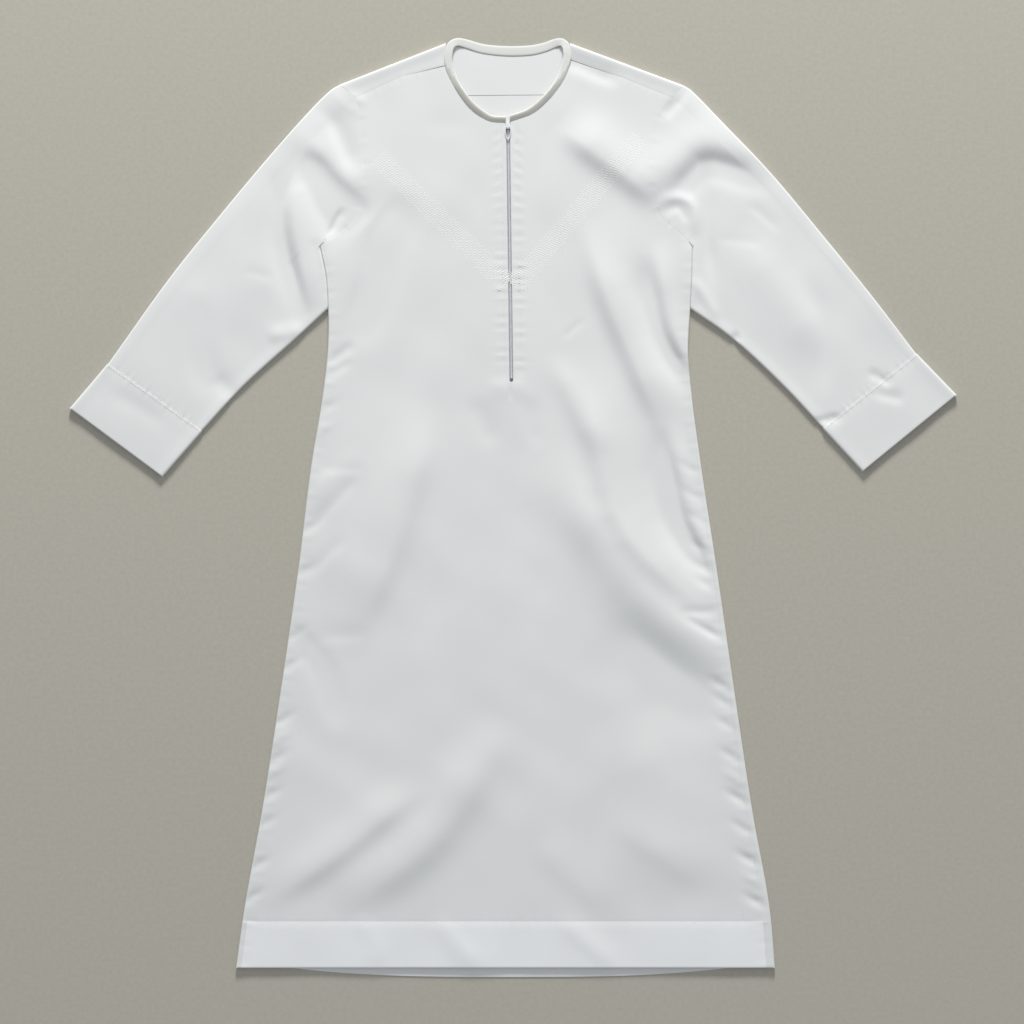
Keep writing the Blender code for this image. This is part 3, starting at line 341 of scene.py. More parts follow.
# Stitches, each a small lens: its length, the gap to the next one, its half width and its rise
Stitch = namedtuple("Stitch", "length gap half rise")
TOPSTITCH = Stitch(2.4, 1.2, 0.35, 0.22)
EDGE_STITCH = Stitch(2.2, 0.8, 0.6, 0.2)
FILL_STITCH = Stitch(2.2, 0.8, 0.65, 0.2)
STITCH_END = 0.18
STITCH_SINK = 0.12
EMBROIDERY_SINK = 0.03

# Where the rows of stitches lie, as distances from their seams
ZIP_STITCHED = (-2, -6)
ZIP_BARS = (2, 4)
HEM_STITCHED = 2
HEM_STITCH_INSETS = (10, 15)
ARMHOLE_STITCHED = 2.0
ARMHOLE_ROWS = (40, 22)
YOKE_STITCHED = 2.2
CUFF_STITCHED = 2.6
CUFF_STITCH_INSET = 4

# The embroidered V: its two arms, half their width, and the even lattice that fills them
V_ARMS = (((-204, 524), (-10.5, 334)), ((190, 552), (1.5, 330)))
V_HALF = 17
V_EDGE = 2.2
V_MARGIN = 3.4
V_PITCH = 3.4
V_STEP = 2.6
V_STITCH = 0.44

# Colours, lighter and darker
WHITE = ((0.83, 0.84, 0.83), (0.79, 0.80, 0.79))
HEM = ((0.92, 0.935, 0.94), (0.90, 0.91, 0.91))
BAND = ((0.77, 0.775, 0.745), (0.72, 0.725, 0.695))
# darker binding cloth: painted shade for the rolled front's side turned away from the light
BAND_PAINTED_SHADE = ((0.66, 0.65, 0.60), (0.58, 0.57, 0.52))
THREAD = ((0.82, 0.82, 0.80), (0.76, 0.76, 0.74))
EMBROIDERY = ((0.90, 0.90, 0.89), (0.85, 0.85, 0.84))
TAPE = ((0.70, 0.72, 0.73), (0.62, 0.64, 0.66))
NICKEL = ((0.97, 0.98, 1.0), (0.80, 0.82, 0.86))
FLOOR = ((0.505, 0.48, 0.41), (0.45, 0.43, 0.365))
CLOTH_SPREAD = (0.3, 0.7)  # where on the noise the darker colour ends and the lighter one starts
METAL_SPREAD = (0.35, 0.65)
CLOTH_ROUGHNESS = 0.72
METAL_ROUGHNESS = 0.5
METAL_SHARE = 0.4  # a satin plating with a dull film
FLOOR_ROUGHNESS = 0.85
BAND_TURN = 0.6  # how the binding's weave is turned, in radians
SLEEVE_TURN = 0.88
WAVE_NODE = 20  # the wave texture's own factor on its scale

# Floor, light and camera, in metres
FLOOR_HALF = 4.0
FLOOR_Z = -0.0002
WINDOW_PLACE = (0.2, 6.2, 2.2)
WINDOW_AIM = (0, -0.1, 0)
WINDOW_SIZE = 1.3
WINDOW_POWER = 512
WINDOW_COLOUR = (1.0, 0.99, 0.975)
ROOM_COLOUR = (0.93, 0.96, 1.0)
ROOM_STRENGTH = 0.455
CAMERA = (-0.00225, -0.00675, 6.0)
FRAME_WIDTH = 1.536  # metres of floor across the picture
SENSOR = 36  # millimetres
METAL_BEVEL = 0.25


def smooth_curve(points, stretches):
    """Points along a smooth curve. Each stretch names a given point it runs to and its number of steps."""
    given = np.asarray(points, float)
    ends = np.vstack((2 * given[0] - given[1], given, 2 * given[-1] - given[-2]))
    steps = np.linspace(0, 1, CURVE_STEPS, endpoint=False)[:, None]
    fine = []
    for before, start, end, after in zip(ends, ends[1:], ends[2:], ends[3:]):
        bend = 2 * before - 5 * start + 4 * end - after
        swing = 3 * start - before - 3 * end + after
        fine.append(0.5 * (2 * start + (end - before) * steps + bend * steps**2 + swing * steps**3))
    fine = np.vstack((*fine, given[-1]))
    run = run_along(fine)
    wanted = [0.0]
    for last, count in stretches:
        reached = run[last * len(steps)]
        wanted.extend(np.linspace(wanted[-1], reached, count + 1)[1:])
    return np.column_stack([np.interp(wanted, run, column) for column in fine.T])


def even_curve(points, count):
    return smooth_curve(points, ((len(points) - 1, count),))


def plan_normals(points):
    """Unit vectors across a curve in plan, to the right of its direction."""
    along = np.gradient(points[:, :2], axis=0)
    along /= np.linalg.norm(along, axis=1)[:, None]
    return np.column_stack((along[:, 1], -along[:, 0]))


def unit(vector):
    vector = np.asarray(vector, float)
    return vector / np.linalg.norm(vector)


def run_along(points):
    """How far along a line in plan each of its points lies."""
    return np.concatenate(([0], np.cumsum(np.linalg.norm(np.diff(points[:, :2], axis=0), axis=1))))


def distance_to(x, y, path):
    """Distance from each place to a curve, how far along the nearest point lies, 0 to 1, and its side."""
    start = path[:-1]
    run = path[1:] - start
    from_start = np.stack((x, y), axis=-1)[..., None, :] - start
    share = np.clip((from_start * run).sum(-1) / (run * run).sum(-1), 0, 1)
    away = np.linalg.norm(from_start - share[..., None] * run, axis=-1)
    index = away.argmin(-1)[..., None]
    along = (index + np.take_along_axis(share, index, -1)) / len(run)
    turned = run[:, 0] * from_start[..., 1] - run[:, 1] * from_start[..., 0]
    left = np.take_along_axis(turned, index, -1) > 0
    return np.take_along_axis(away, index, -1)[..., 0], along[..., 0], left[..., 0]


def side_at(y, column):
    """A column of the side table at a height, along a smooth curve."""
    rows = SIDES[::-1]
    heights = np.array([row.y for row in rows], float)
    values = np.array([getattr(row, column) for row in rows], float)
    slopes = np.gradient(values, heights)
    y = np.clip(y, heights[0], heights[-1])
    row = np.clip(np.searchsorted(heights, y) - 1, 0, len(rows) - 2)
    span = heights[row + 1] - heights[row]
    t = (y - heights[row]) / span
    start = values[row] * (1 + 2 * t) * (1 - t) ** 2 + slopes[row] * span * t * (1 - t) ** 2
    end = values[row + 1] * t**2 * (3 - 2 * t) + slopes[row + 1] * span * t**2 * (t - 1)
    return start + end


def zip_x(y):
    """The zip's middle line, which leans a little."""
    share = (ZIP_TOP[1] - y) / (ZIP_TOP[1] - ZIP_FOOT[1])
    return ZIP_TOP[0] + share * (ZIP_FOOT[0] - ZIP_TOP[0])


def shoulder_neck(sleeve):
    return np.array((sleeve.neck_x, SHOULDER_NECK_Y))


def yoke_corner(sleeve):
    """Where the yoke's front seam meets the armhole."""
    return np.array(sleeve.armhole[-1], float)


def sleeve_root(sleeve):
    """Where the sleeve's under fold leaves the body's side."""
    return np.array((side_at(SLEEVE_MEETS_Y, sleeve.name) + sleeve.side * GAP, SLEEVE_MEETS_Y))


def folded_edges():
    """Every line where the cloth turns from the lower layer to the upper one."""
    heights = np.linspace(HEM_EDGE_Y, ARMPIT_Y, SIDE_STEPS)
    lines = [np.column_stack((side_at(heights, side), heights)) for side in ("left", "right")]
    for sleeve in SLEEVES:
        lines.append(np.array((shoulder_neck(sleeve), sleeve.shoulder)))
        lines.append(even_curve((sleeve.shoulder, *sleeve.top, sleeve.cuff_edge[0]), TOP_STEPS))
        lines.append(even_curve((sleeve_root(sleeve), *sleeve.under, sleeve.cuff_edge[1]), UNDER_STEPS))
    return lines


EDGES = folded_edges()


def curves_of(folds):
    return [even_curve((fold.start, fold.first, fold.second, fold.end), FOLD_STEPS) for fold in folds]


FOLD_CURVES = curves_of(FOLDS)
CREASE_CURVES = curves_of(CREASES)


def smooth_step(value):
    value = np.clip(value, 0, 1)
    return value * value * (3 - 2 * value)


def add_folds(x, y, folds, curves):
    x, y = np.asarray(x, float), np.asarray(y, float)
    total = np.zeros(x.shape)
    for fold, curve in zip(folds, curves):
        edge = FOLD_FAR * max(fold.left, fold.right)
        low, high = curve.min(axis=0) - edge, curve.max(axis=0) + edge
        near = (x > low[0]) & (x < high[0]) & (y > low[1]) & (y < high[1])
        away, along, left = distance_to(x[near], y[near], curve)
        fade = smooth_step(along / FOLD_FADE) * smooth_step((1 - along) / FOLD_FADE)
        reach = np.where(left, fold.left, fold.right)
        total[near] += fold.rise * np.exp(-((away / reach) ** 2)) * fade
    return total


def fold_lift(x, y):
    """The folds' heights added up over the resting lift, and never below the lower layer."""
    total = REST_LIFT + add_folds(x, y, FOLDS, FOLD_CURVES)
    return 0.5 * (total + np.sqrt(total**2 + LIFT_SOFTNESS))


def beside_zip(x, y):
    """1 on the flat strip beside the zip, fading to 0 away from it."""
    near = smooth_step((ZIP_FLAT + ZIP_BLEND - np.abs(x - zip_x(y))) / ZIP_BLEND)
    return near * smooth_step((y - ZIP_END_Y + ZIP_BELOW) / ZIP_BELOW_BLEND)


def upper_layer(x, y, cloth, radius):
    """Height of the underside of the upper layer, as in the solids."""
    away = np.min([distance_to(x, y, line)[0] for line in EDGES], axis=0)
    away = np.maximum(away - radius, 0)
    edge_lift = 2 * radius - 2 * cloth - GAP
    held = np.exp(-((away / EDGE_REACH) ** 2))
    lift = edge_lift * held + fold_lift(x, y) * (1 - EDGE_CALMS * held)
    flat = beside_zip(x, y)
    lift = lift * (1 - flat) + (ZIP_HEIGHT - CLOTH - GAP) * flat
    return cloth + GAP + lift


def ripple(along, phase, wavelengths):
    """An uneven wave between -1 and 1 along a seam."""
    total = 0
    for number, length in enumerate(wavelengths):
        total = total + np.sin(math.sin(phase * (number + PHASE_STEP)) + along * 2 * math.pi / length)
    return total / len(wavelengths)


def seam_lines():
    """Each seam's line in plan, with its look."""
    heights = np.linspace(HEM_EDGE_Y, ARMPIT_Y, SEAM_POINTS)
    lines = []
    for side, sign in (("left", 1), ("right", -1)):
        x = side_at(heights, side) + sign * side_at(heights, "seam_" + side)
        lines.append((np.column_stack((x, heights)), SIDE_SEAM))
    hem = np.array(((side_at(HEM_SEAM_Y, "left"), HEM_SEAM_Y), (side_at(HEM_SEAM_Y, "right"), HEM_SEAM_Y)))
    lines.append((hem, HEM_SEAM))
    for sleeve in SLEEVES:
        lines.append((even_curve(sleeve.armhole, ARMHOLE_STEPS), ARMHOLE_SEAM))
        lines.append((np.array(yoke_seam(sleeve)), YOKE_SEAM))
        lines.append((cuff_seam(sleeve), CUFF_SEAM))
    return lines


def yoke_seam(sleeve):
    """The yoke's front seam from the armhole to the neck, with its one bend."""
    return yoke_corner(sleeve), np.array(sleeve.yoke_bend, float), np.array((sleeve.neck_x, sleeve.neck_y))


def cuff_seam(sleeve):
    return np.array((sleeve.top[-1], sleeve.under[-1]), float)


SEAM_LINES = seam_lines()


def seam_relief(x, y):
    """A groove along each seam, and puckers beside it."""
    total = np.zeros(np.shape(x))
    for number, (line, look) in enumerate(SEAM_LINES):
        away, along, _ = distance_to(x, y, line)
        total = total - look.groove * np.exp(-((away / GROOVE_HALF) ** 2))
        waves = ripple(along * run_along(line)[-1], number + SEAM_PHASE, SEAM_WAVES)
        total = total + look.pucker * waves * np.exp(-((away / look.reach) ** 2))
    return total


def pucker_relief(x, y):
    """Short slanted puckers beside the side seams."""
    total = np.zeros(np.shape(x))
    for side, inward in (("left", 1), ("right", -1)):
        for height, rise in PUCKERS[side]:
            middle = side_at(height, side) + inward * PUCKER_INSET[side]
            out = (middle - x) * inward
            down = height - y - out * PUCKER_LEAN
            total = total + rise * np.exp(-((out / PUCKER_HALF[0]) ** 2) - (down / PUCKER_HALF[1]) ** 2)
    return total


def placket_relief(x, y):
    """Small puckers beside the zip, between the slit and a little past the topstitching."""
    from_zip = x - zip_x(y)
    waves = ripple(y + np.where(from_zip < 0, 0.0, PLACKET_SHIFT), PLACKET_PHASE, PLACKET_WAVES)
    across = np.exp(-(((np.abs(from_zip) - PLACKET_MIDDLE) / PLACKET_REACH) ** 2))
    depth, half = TOPSTITCH_GROOVE
    rows = sum(np.exp(-(((from_zip - offset) / half) ** 2)) for offset in TOPSTITCH_OFFSETS)
    above = smooth_step((y - ZIP_END_Y) / PLACKET_FADE)
    below = smooth_step((ZIP_TOP[1] + PLACKET_TOP - y) / PLACKET_FADE)
    return (PLACKET_RISE * waves * across - depth * rows) * above * below


def undulation(x, y):
    """Long low waves in all directions."""
    total = np.zeros(np.shape(x))
    rise, span, shift = WAVE_BEND
    for across, along, phase, size in WAVES:
        length = WAVE_LENGTH[0] + WAVE_LENGTH[1] * abs(size)
        angle = math.pi * across
        run = (x * math.cos(angle) + y * math.sin(angle)) * 2 * math.pi / length
        bend = rise * np.sin((x * along - y * across) * 2 * math.pi / span + shift * size)
        total = total + np.sin(run + bend + WAVE_PHASE * phase)
    return WAVE_RISE * total


def cloth_top(x, y, cloth=CLOTH, radius=FOLD_RADIUS):
    """Height of the upper layer's outside."""
    small = add_folds(x, y, CREASES, CREASE_CURVES) + undulation(x, y) * (1 - beside_zip(x, y))
    small = small + seam_relief(x, y) + pucker_relief(x, y) + placket_relief(x, y)
    return upper_layer(x, y, cloth, radius) + cloth + small


def body_cloth(y):
    """The cloth's thickness, which is double in the hem."""
    step = smooth_step((HEM_SEAM_Y + HEM_STEP[0] - np.asarray(y, float)) / HEM_STEP[1])
    return CLOTH + (HEM_CLOTH - CLOTH) * step


def add_object(name, shape, material, sharp_from=None):
    """An object made from a shape. Its edges stay sharp from an angle in degrees, where one is given."""
    mesh = bpy.data.meshes.new(name)
    shape.to_mesh(mesh)
    shape.free()
    mesh.shade_smooth()
    if sharp_from:
        mesh.set_sharp_from_angle(angle=math.radians(sharp_from))
    mesh.materials.append(material)
    thing = bpy.data.objects.new(name, mesh)
    bpy.context.scene.collection.objects.link(thing)
    return thing


def outward_shape(points, faces):
    """A shape from points in millimetres and faces that all look the same way."""
    mesh = bpy.data.meshes.new("plan")
    mesh.from_pydata((np.asarray(points, float) * MM).tolist(), [], faces)
    shape = bmesh.new()
    shape.from_mesh(mesh)
    bpy.data.meshes.remove(mesh)
    loose = [vertex for vertex in shape.verts if not vertex.link_faces]
    bmesh.ops.delete(shape, geom=loose, context="VERTS")
    bmesh.ops.recalc_face_normals(shape, faces=shape.faces)
    return shape


class Shell:
    """A sheet of cloth.

    Each station has a place in plan, a place whose height it takes, and its share of that height.
    """

    def __init__(self):
        self.chunks = []
        self.count = 0
        self.faces = []

    def add(self, points, source, share, cloth, radius, drop=0.0):
        number = len(points)
        values = [np.asarray(value, float) for value in (share, cloth, radius, drop)]
        columns = [np.broadcast_to(value, (number,)) for value in values]
        self.chunks.append(np.column_stack((points, source, *columns)))
        self.count += number
        return np.arange(self.count - number, self.count)

    def upper(self, points, cloth=CLOTH, radius=FOLD_RADIUS, drop=0.0):
        points = np.asarray(points, float)
        return self.add(points, points, 1, cloth, radius, drop)

    def lower(self, points):
        points = np.asarray(points, float)
        return self.add(points, points, 0, CLOTH, FOLD_RADIUS)

    def turn(self, edges, outward, cloth=CLOTH, radius=FOLD_RADIUS, width=None):
        """Rows of stations round a fold, from the lower layer to the upper one, without its two ends."""
        width = radius if width is None else np.asarray(width)[:, None]
        inside = edges - outward * width
        rows = []
        for step in range(1, FOLD_ARC):
            angle = math.pi * step / FOLD_ARC
            points = inside + outward * width * math.sin(angle)
            rows.append(self.add(points, inside, (1 - math.cos(angle)) / 2, cloth, radius))
        return rows

    def grid(self, rows):
        rows = np.asarray(rows)
        quads = np.stack((rows[:-1, :-1], rows[:-1, 1:], rows[1:, 1:], rows[1:, :-1]), axis=-1)
        self.faces.append(quads.reshape(-1, 4))

    def points(self):
        table = np.vstack(self.chunks)
        source_x, source_y, share, cloth, radius, drop = table[:, 2:].T
        height = np.zeros(len(table))
        high = share > 0
        height[high] = cloth_top(source_x[high], source_y[high], cloth[high], radius[high]) * share[high]
        return np.column_stack((table[:, :2], height - drop)), share

    def build(self, name, material):
        points, share = self.points()
        shape = outward_shape(points, np.vstack(self.faces).tolist())
        middle = points[:, 2].mean() * MM
        upper_only = share.min() == 1
        facing = 0
        for face in shape.faces:
            outside = 1 if upper_only or face.calc_center_median().z > middle else -1
            facing += face.normal.z * face.calc_area() * outside
        if facing < 0:
            bmesh.ops.reverse_faces(shape, faces=shape.faces)
        thing = add_object(name, shape, material)
        solidify = thing.modifiers.new("cloth thickness", "SOLIDIFY")
        solidify.thickness = SHELL * MM
        solidify.offset = -1
        split = thing.modifiers.new("sharp rim", "EDGE_SPLIT")
        split.split_angle = math.radians(RIM_ANGLE)
        return thing


def armhole_line(sleeve):
    return even_curve(sleeve.armhole, ARMHOLE - 1)


NECK_LINE = smooth_curve(NECK, NECK_STRETCHES)
NECK_ACROSS = plan_normals(NECK_LINE)


def neck_outside(first, last):
    """The cloth's edge between two stations of the binding, a little in under its outer edge."""
    part = slice(first, last + 1)
    return NECK_LINE[part, :2] - NECK_ACROSS[part] * (NECK_LINE[part, 2:3] - NECK_UNDER)


def roll_drop(away):
    """How far a cut edge's outside turns down, this far in from it."""
    share = np.clip(1 - away / EDGE_ROLL_WIDTH, 0, 1)
    return EDGE_ROLL * (1 - np.sqrt(1 - share**2))


def stepped(start, end, step):
    return np.linspace(start, end, max(2, int(round(abs(end - start) / step)) + 1))


def body_rows():
    """Heights of the body's rows from the hem's edge up to the armpit."""
    seam = HEM_SEAM_Y + SEAM_STEPS
    edge = HEM_EDGE_Y + EDGE_STEPS
    hem = stepped(edge[-1], seam[0], ROW_STEP)[1:-1]
    skirt = stepped(seam[-1], ZIP_END_Y, ROW_STEP)[1:]
    above = stepped(ZIP_END_Y + SLIT_FOOT_STEP, ARMPIT_Y, ROW_STEP)
    return np.concatenate((edge, hem, seam, skirt, above))


def between(start, end, count):
    start = np.asarray(start, float)
    end = np.asarray(end, float)
    return start + (end - start) * np.linspace(0, 1, count + 1)[:, None]


def front_row(outer, inner):
    """Places from a side seam to the slit, closer together near both ends."""
    outer = np.asarray(outer, float)
    inner = np.asarray(inner, float)
    length = np.linalg.norm(inner - outer)
    edge = np.linspace(0, EDGE_COLUMN_STEP * EDGE_COLUMNS, EDGE_COLUMNS + 1) / length
    middle = np.linspace(edge[-1], 1 - edge[-1], MIDDLE_COLUMNS + 1)
    shares = np.concatenate((edge, middle[1:-1], 1 - edge[::-1]))
    return outer + (inner - outer) * shares[:, None]


def slit_half(y):
    """Half the slit's width: the cloth closes in over the chain below the slider."""
    return SLIT_NARROW + (SLIT_HALF - SLIT_NARROW) * smooth_step((y - SLIT_WIDENS[0]) / SLIT_WIDENS[1])


def front_half(sleeve, rows):
    """Plan points of one half of the front panel: rows from the hem to the yoke's seam."""
    plan = []
    for y in rows:
        seam = side_at(y, sleeve.name) - sleeve.side * side_at(y, "seam_" + sleeve.name)
        slit = zip_x(y) + (sleeve.side * slit_half(y) if y > ZIP_END_Y else 0)
        plan.append(front_row((seam, y), (slit, y)))
    neck = neck_outside(0, NECK_FRONT)
    if sleeve.side > 0:
        neck = neck_outside(len(NECK_LINE) - 1 - NECK_FRONT, len(NECK_LINE) - 1)[::-1]
    slit_heights = np.linspace(ARMPIT_Y, neck[0][1] - SLIT_TOP_DROP, SLIT + 1)[1:]
    slit = np.column_stack((zip_x(slit_heights) + sleeve.side * slit_half(slit_heights), slit_heights))
    inner = np.vstack((slit, neck[1:]))
    outer = armhole_line(sleeve)
    bend = yoke_seam(sleeve)[1]
    straight = front_row(outer[-1], inner[-1])
    share = (straight[:, 0] - outer[-1][0]) / (inner[-1][0] - outer[-1][0])
    bent_at = (bend[0] - outer[-1][0]) / (inner[-1][0] - outer[-1][0])
    seam_y = np.interp(share, (0, bent_at, 1), (outer[-1][1], bend[1], inner[-1][1]))
    bow = np.column_stack((np.zeros(len(share)), seam_y - straight[:, 1]))
    for index, (start, end) in enumerate(zip(outer, inner), 1):
        plan.append(front_row(start, end) + bow * (index / ARMHOLE) ** 3)
    return plan


def make_front(material, hem_material):
    """The front panel in two halves, joined below the slit, with lighter cloth in the hem."""
    shell = Shell()
    rows = body_rows()
    halves = [front_half(sleeve, rows) for sleeve in SLEEVES]
    grids = ([], [])
    for index, (left, right) in enumerate(zip(*halves)):
        y = rows[index] if index < len(rows) else ARMPIT_Y
        cloth = float(body_cloth(y))
        drop = float(roll_drop(y - HEM_EDGE_Y))
        left_row = shell.upper(left, cloth, drop=drop)
        right_row = shell.upper(right, cloth, drop=drop)
        if y <= ZIP_END_Y:
            right_row[-1] = left_row[-1]
        grids[0].append(left_row)
        grids[1].append(right_row)
    for grid in grids:
        shell.grid(grid)
    panel = shell.build("cloth_front", material)
    panel.data.materials.append(hem_material)
    for polygon in panel.data.polygons:
        polygon.material_index = int(polygon.center.y < (HEM_SEAM_Y - HEM_COLOUR_DROP) * MM)
    return panel


def back_yoke_line():
    """The back yoke's seam, with a bend under each end of the neck."""
    left, right = SLEEVES
    return np.array((
        yoke_corner(left),
        (left.neck_x, BACK_YOKE_Y[0]),
        (right.neck_x, BACK_YOKE_Y[1]),
        yoke_corner(right),
    ))


def back_drop(x, y):
    """The back hem hangs lower than the front one: how far a place near the hem is moved down."""
    sag = BACK_HEM_DROP * np.maximum(0, 1 - np.abs((x - BACK_HEM_MIDDLE) / BACK_HEM_HALF) ** 3)
    return sag * smooth_step((HEM_SEAM_Y - y) / (HEM_SEAM_Y - HEM_EDGE_Y))


def closed_fold(sleeve):
    """Places where the body's and the sleeve's folds narrow to nothing at the end of the armhole's seam."""
    start = np.array(sleeve.armhole[0], float)
    end = np.array((side_at(ARMPIT_Y, sleeve.name), ARMPIT_Y))
    return start + np.outer(CLOSING, end - start)


def turned_side(shell, sleeve, rows, flat):
    """One side of the back panel: from its flat part round the fold and in to the side seam."""
    cloth = np.append(body_cloth(rows), np.full(len(CLOSING), CLOTH))
    places = np.column_stack((side_at(rows, sleeve.name), rows))
    edge = np.vstack((places, closed_fold(sleeve)[::-1]))
    outward = np.tile((float(sleeve.side), 0.0), (len(edge), 1))
    narrow = np.append(np.ones(len(rows)), CLOSING[::-1])
    turned = shell.turn(edge, outward, cloth, width=FOLD_RADIUS * narrow)
    inside = edge - outward * FOLD_RADIUS * narrow[:, None]
    width = side_at(edge[:, 1], "seam_" + sleeve.name) * narrow
    seam = edge - outward * width[:, None]
    drop = roll_drop(edge[:, 1] - HEM_EDGE_Y)
    steps = [shell.upper(inside + (seam - inside) * share, cloth, drop=drop) for share in SIDE_SHARES]
    flat_ends = shell.lower(inside[len(rows) :])
    base = np.append([row[0 if sleeve.side < 0 else -1] for row in flat], flat_ends)
    shell.grid([base, *turned, *steps])


def make_back(material):
    """The back panel, which turns up round both sides to the side seams."""
    shell = Shell()
    rows = body_rows()
    flat = []
    shares = np.linspace(0, 1, BACK_COLUMNS + 1)
    for y in rows:
        left = side_at(y, "left") + FOLD_RADIUS
        right = side_at(y, "right") - FOLD_RADIUS
        x = left + shares * (right - left)
        flat.append(shell.lower(np.column_stack((x, y - back_drop(x, y)))))
    for sleeve in SLEEVES:
        turned_side(shell, sleeve, rows, flat)
    armholes = [armhole_line(sleeve) for sleeve in SLEEVES]
    line = back_yoke_line()
    for index, (left, right) in enumerate(zip(*armholes)):
        points = left + (right - left) * shares[:, None]
        if index == ARMHOLE - 1:
            points[:, 1] = np.interp(points[:, 0], line[:, 0], line[:, 1]) - BACK_SEAM
        flat.append(shell.lower(points))
    shell.grid(flat)
    return shell.build("cloth_back", material)


def make_yoke(material):
    """The yoke: across the upper back, over both shoulders, and down to the front seams."""
    shell = Shell()
    line = back_yoke_line()
    backs = []
    depth = np.linspace(0, 1, YOKE_DEPTH + 1)[:, None]
    half = SHOULDER // 2
    for sleeve in SLEEVES:
        corner, bend, neck = yoke_seam(sleeve)
        tuck = np.array((-sleeve.side * NECK_UNDER, 0))
        seam = np.vstack((between(corner, bend, half), between(bend, neck + tuck, half)[1:]))
        folds = between(sleeve.shoulder, shoulder_neck(sleeve) + tuck, SHOULDER)
        slope = unit(folds[-1] - folds[0])
        outward = np.tile(np.array((-slope[1], slope[0])) * np.sign(slope[0]), (len(folds), 1))
        for index in (0, SHOULDER):
            outward[index] = unit(folds[index] - seam[index])
        inside = folds - outward * FOLD_RADIUS
        front = [shell.upper(seam + (inside - seam) * share) for share in depth]
        x = np.linspace(seam[0][0], sleeve.neck_x, SHOULDER + 1)
        base = np.column_stack((x, np.interp(x, line[:, 0], line[:, 1])))
        back = [shell.lower(base + (inside - base) * share) for share in depth]
        turned = shell.turn(folds, outward)
        shell.grid(front)
        shell.grid([back[-1], *turned, front[-1]])
        backs.append(np.array(back).T)
    first = NECK_FRONT + NECK_CORNER
    part = slice(first, first + NECK_BACK + 1)
    neck_edge = NECK_LINE[part, :2] + NECK_ACROSS[part] * (NECK_LINE[part, 2:3] + GAP)
    x = np.linspace(SLEEVES[0].neck_x, SLEEVES[1].neck_x, len(neck_edge) + 2)[1:-1]
    base = np.column_stack((x, np.interp(x, line[:, 0], line[:, 1])))
    middle = np.array([shell.lower(base + (neck_edge - base) * share) for share in depth]).T
    shell.grid(np.vstack((backs[0], middle, backs[1][::-1])))
    return shell.build("cloth_yoke", material)


def sleeve_folds(sleeve):
    """The folds along the top and the underside of a sleeve, each with its outward directions."""
    top_seam, under_seam = cuff_seam(sleeve)
    cuff_line = unit(top_seam - under_seam)
    tops = even_curve((sleeve.shoulder, *sleeve.top), SLEEVE_LENGTH)
    top_out = plan_normals(tops)
    top_out = top_out * np.sign(top_out[:, 1:2])
    top_out[0] = unit(np.array(sleeve.shoulder, float) - yoke_corner(sleeve))
    top_out[-1] = cuff_line
    unders = even_curve((sleeve_root(sleeve), *sleeve.under), SLEEVE_LENGTH)
    under_out = plan_normals(unders)
    under_out = under_out * -np.sign(under_out[:, 1:2])
    under_out[0] = unit(under_out[0] + np.array((-sleeve.side, 0.0)))
    under_out[-1] = -cuff_line
    return tops, top_out, unders, under_out


def make_sleeve(sleeve, material):
    """A sleeve: a flattened tube from the armhole to the cuff's seam."""
    shell = Shell()
    to_body = np.array((-sleeve.side, 0.0))
    tops, top_out, unders, under_out = sleeve_folds(sleeve)
    heights = np.linspace(ARMPIT_Y, SLEEVE_MEETS_Y, BESIDE_SLEEVE + 1)[:-1]
    against = np.column_stack((side_at(heights, sleeve.name), heights))
    against = np.vstack((closed_fold(sleeve), against))
    narrow = np.append(FOLD_RADIUS * CLOSING, np.full(BESIDE_SLEEVE + SLEEVE_LENGTH + 1, FOLD_RADIUS))

    inside_top = tops - top_out * FOLD_RADIUS
    inside_under = unders - under_out * FOLD_RADIUS
    inside_against = against - to_body * narrow[: len(against), None]
    mouth = np.vstack((inside_top[:1], armhole_line(sleeve)[::-1], inside_against, inside_under[:1]))
    run = run_along(mouth)
    u = (run / run[-1])[:, None]
    wrist = inside_top[-1] + (inside_under[-1] - inside_top[-1]) * u

    upper, lower = [], []
    for step in range(SLEEVE_LENGTH + 1):
        v = step / SLEEVE_LENGTH
        ruled = (1 - v) * mouth + v * wrist + (1 - u) * inside_top[step] + u * inside_under[step]
        corners = (1 - u) * ((1 - v) * mouth[0] + v * wrist[0]) + u * ((1 - v) * mouth[-1] + v * wrist[-1])
        swing = ARMPIT_SWING * v * (1 - v) ** 2 * np.sin(math.pi * u**1.5) ** 2
        points = ruled - corners + np.hstack((np.zeros_like(swing), swing))
        upper.append(shell.upper(points))
        lower.append(shell.lower(points))
    upper, lower = np.array(upper), np.array(lower)
    shell.grid(upper)
    shell.grid(lower)
    shell.grid([lower[:, 0], *shell.turn(tops, top_out), upper[:, 0]])
    edges = np.vstack((against, unders))
    outward = np.vstack((np.tile(to_body, (len(against), 1)), under_out))
    columns = slice(1 + ARMHOLE, 1 + ARMHOLE + len(against))
    base = np.concatenate((lower[0, columns], lower[:, -1]))
    top = np.concatenate((upper[0, columns], upper[:, -1]))
    shell.grid([base, *shell.turn(edges, outward, width=narrow), top])
    return shell.build("cloth_sleeve_" + sleeve.name, material)


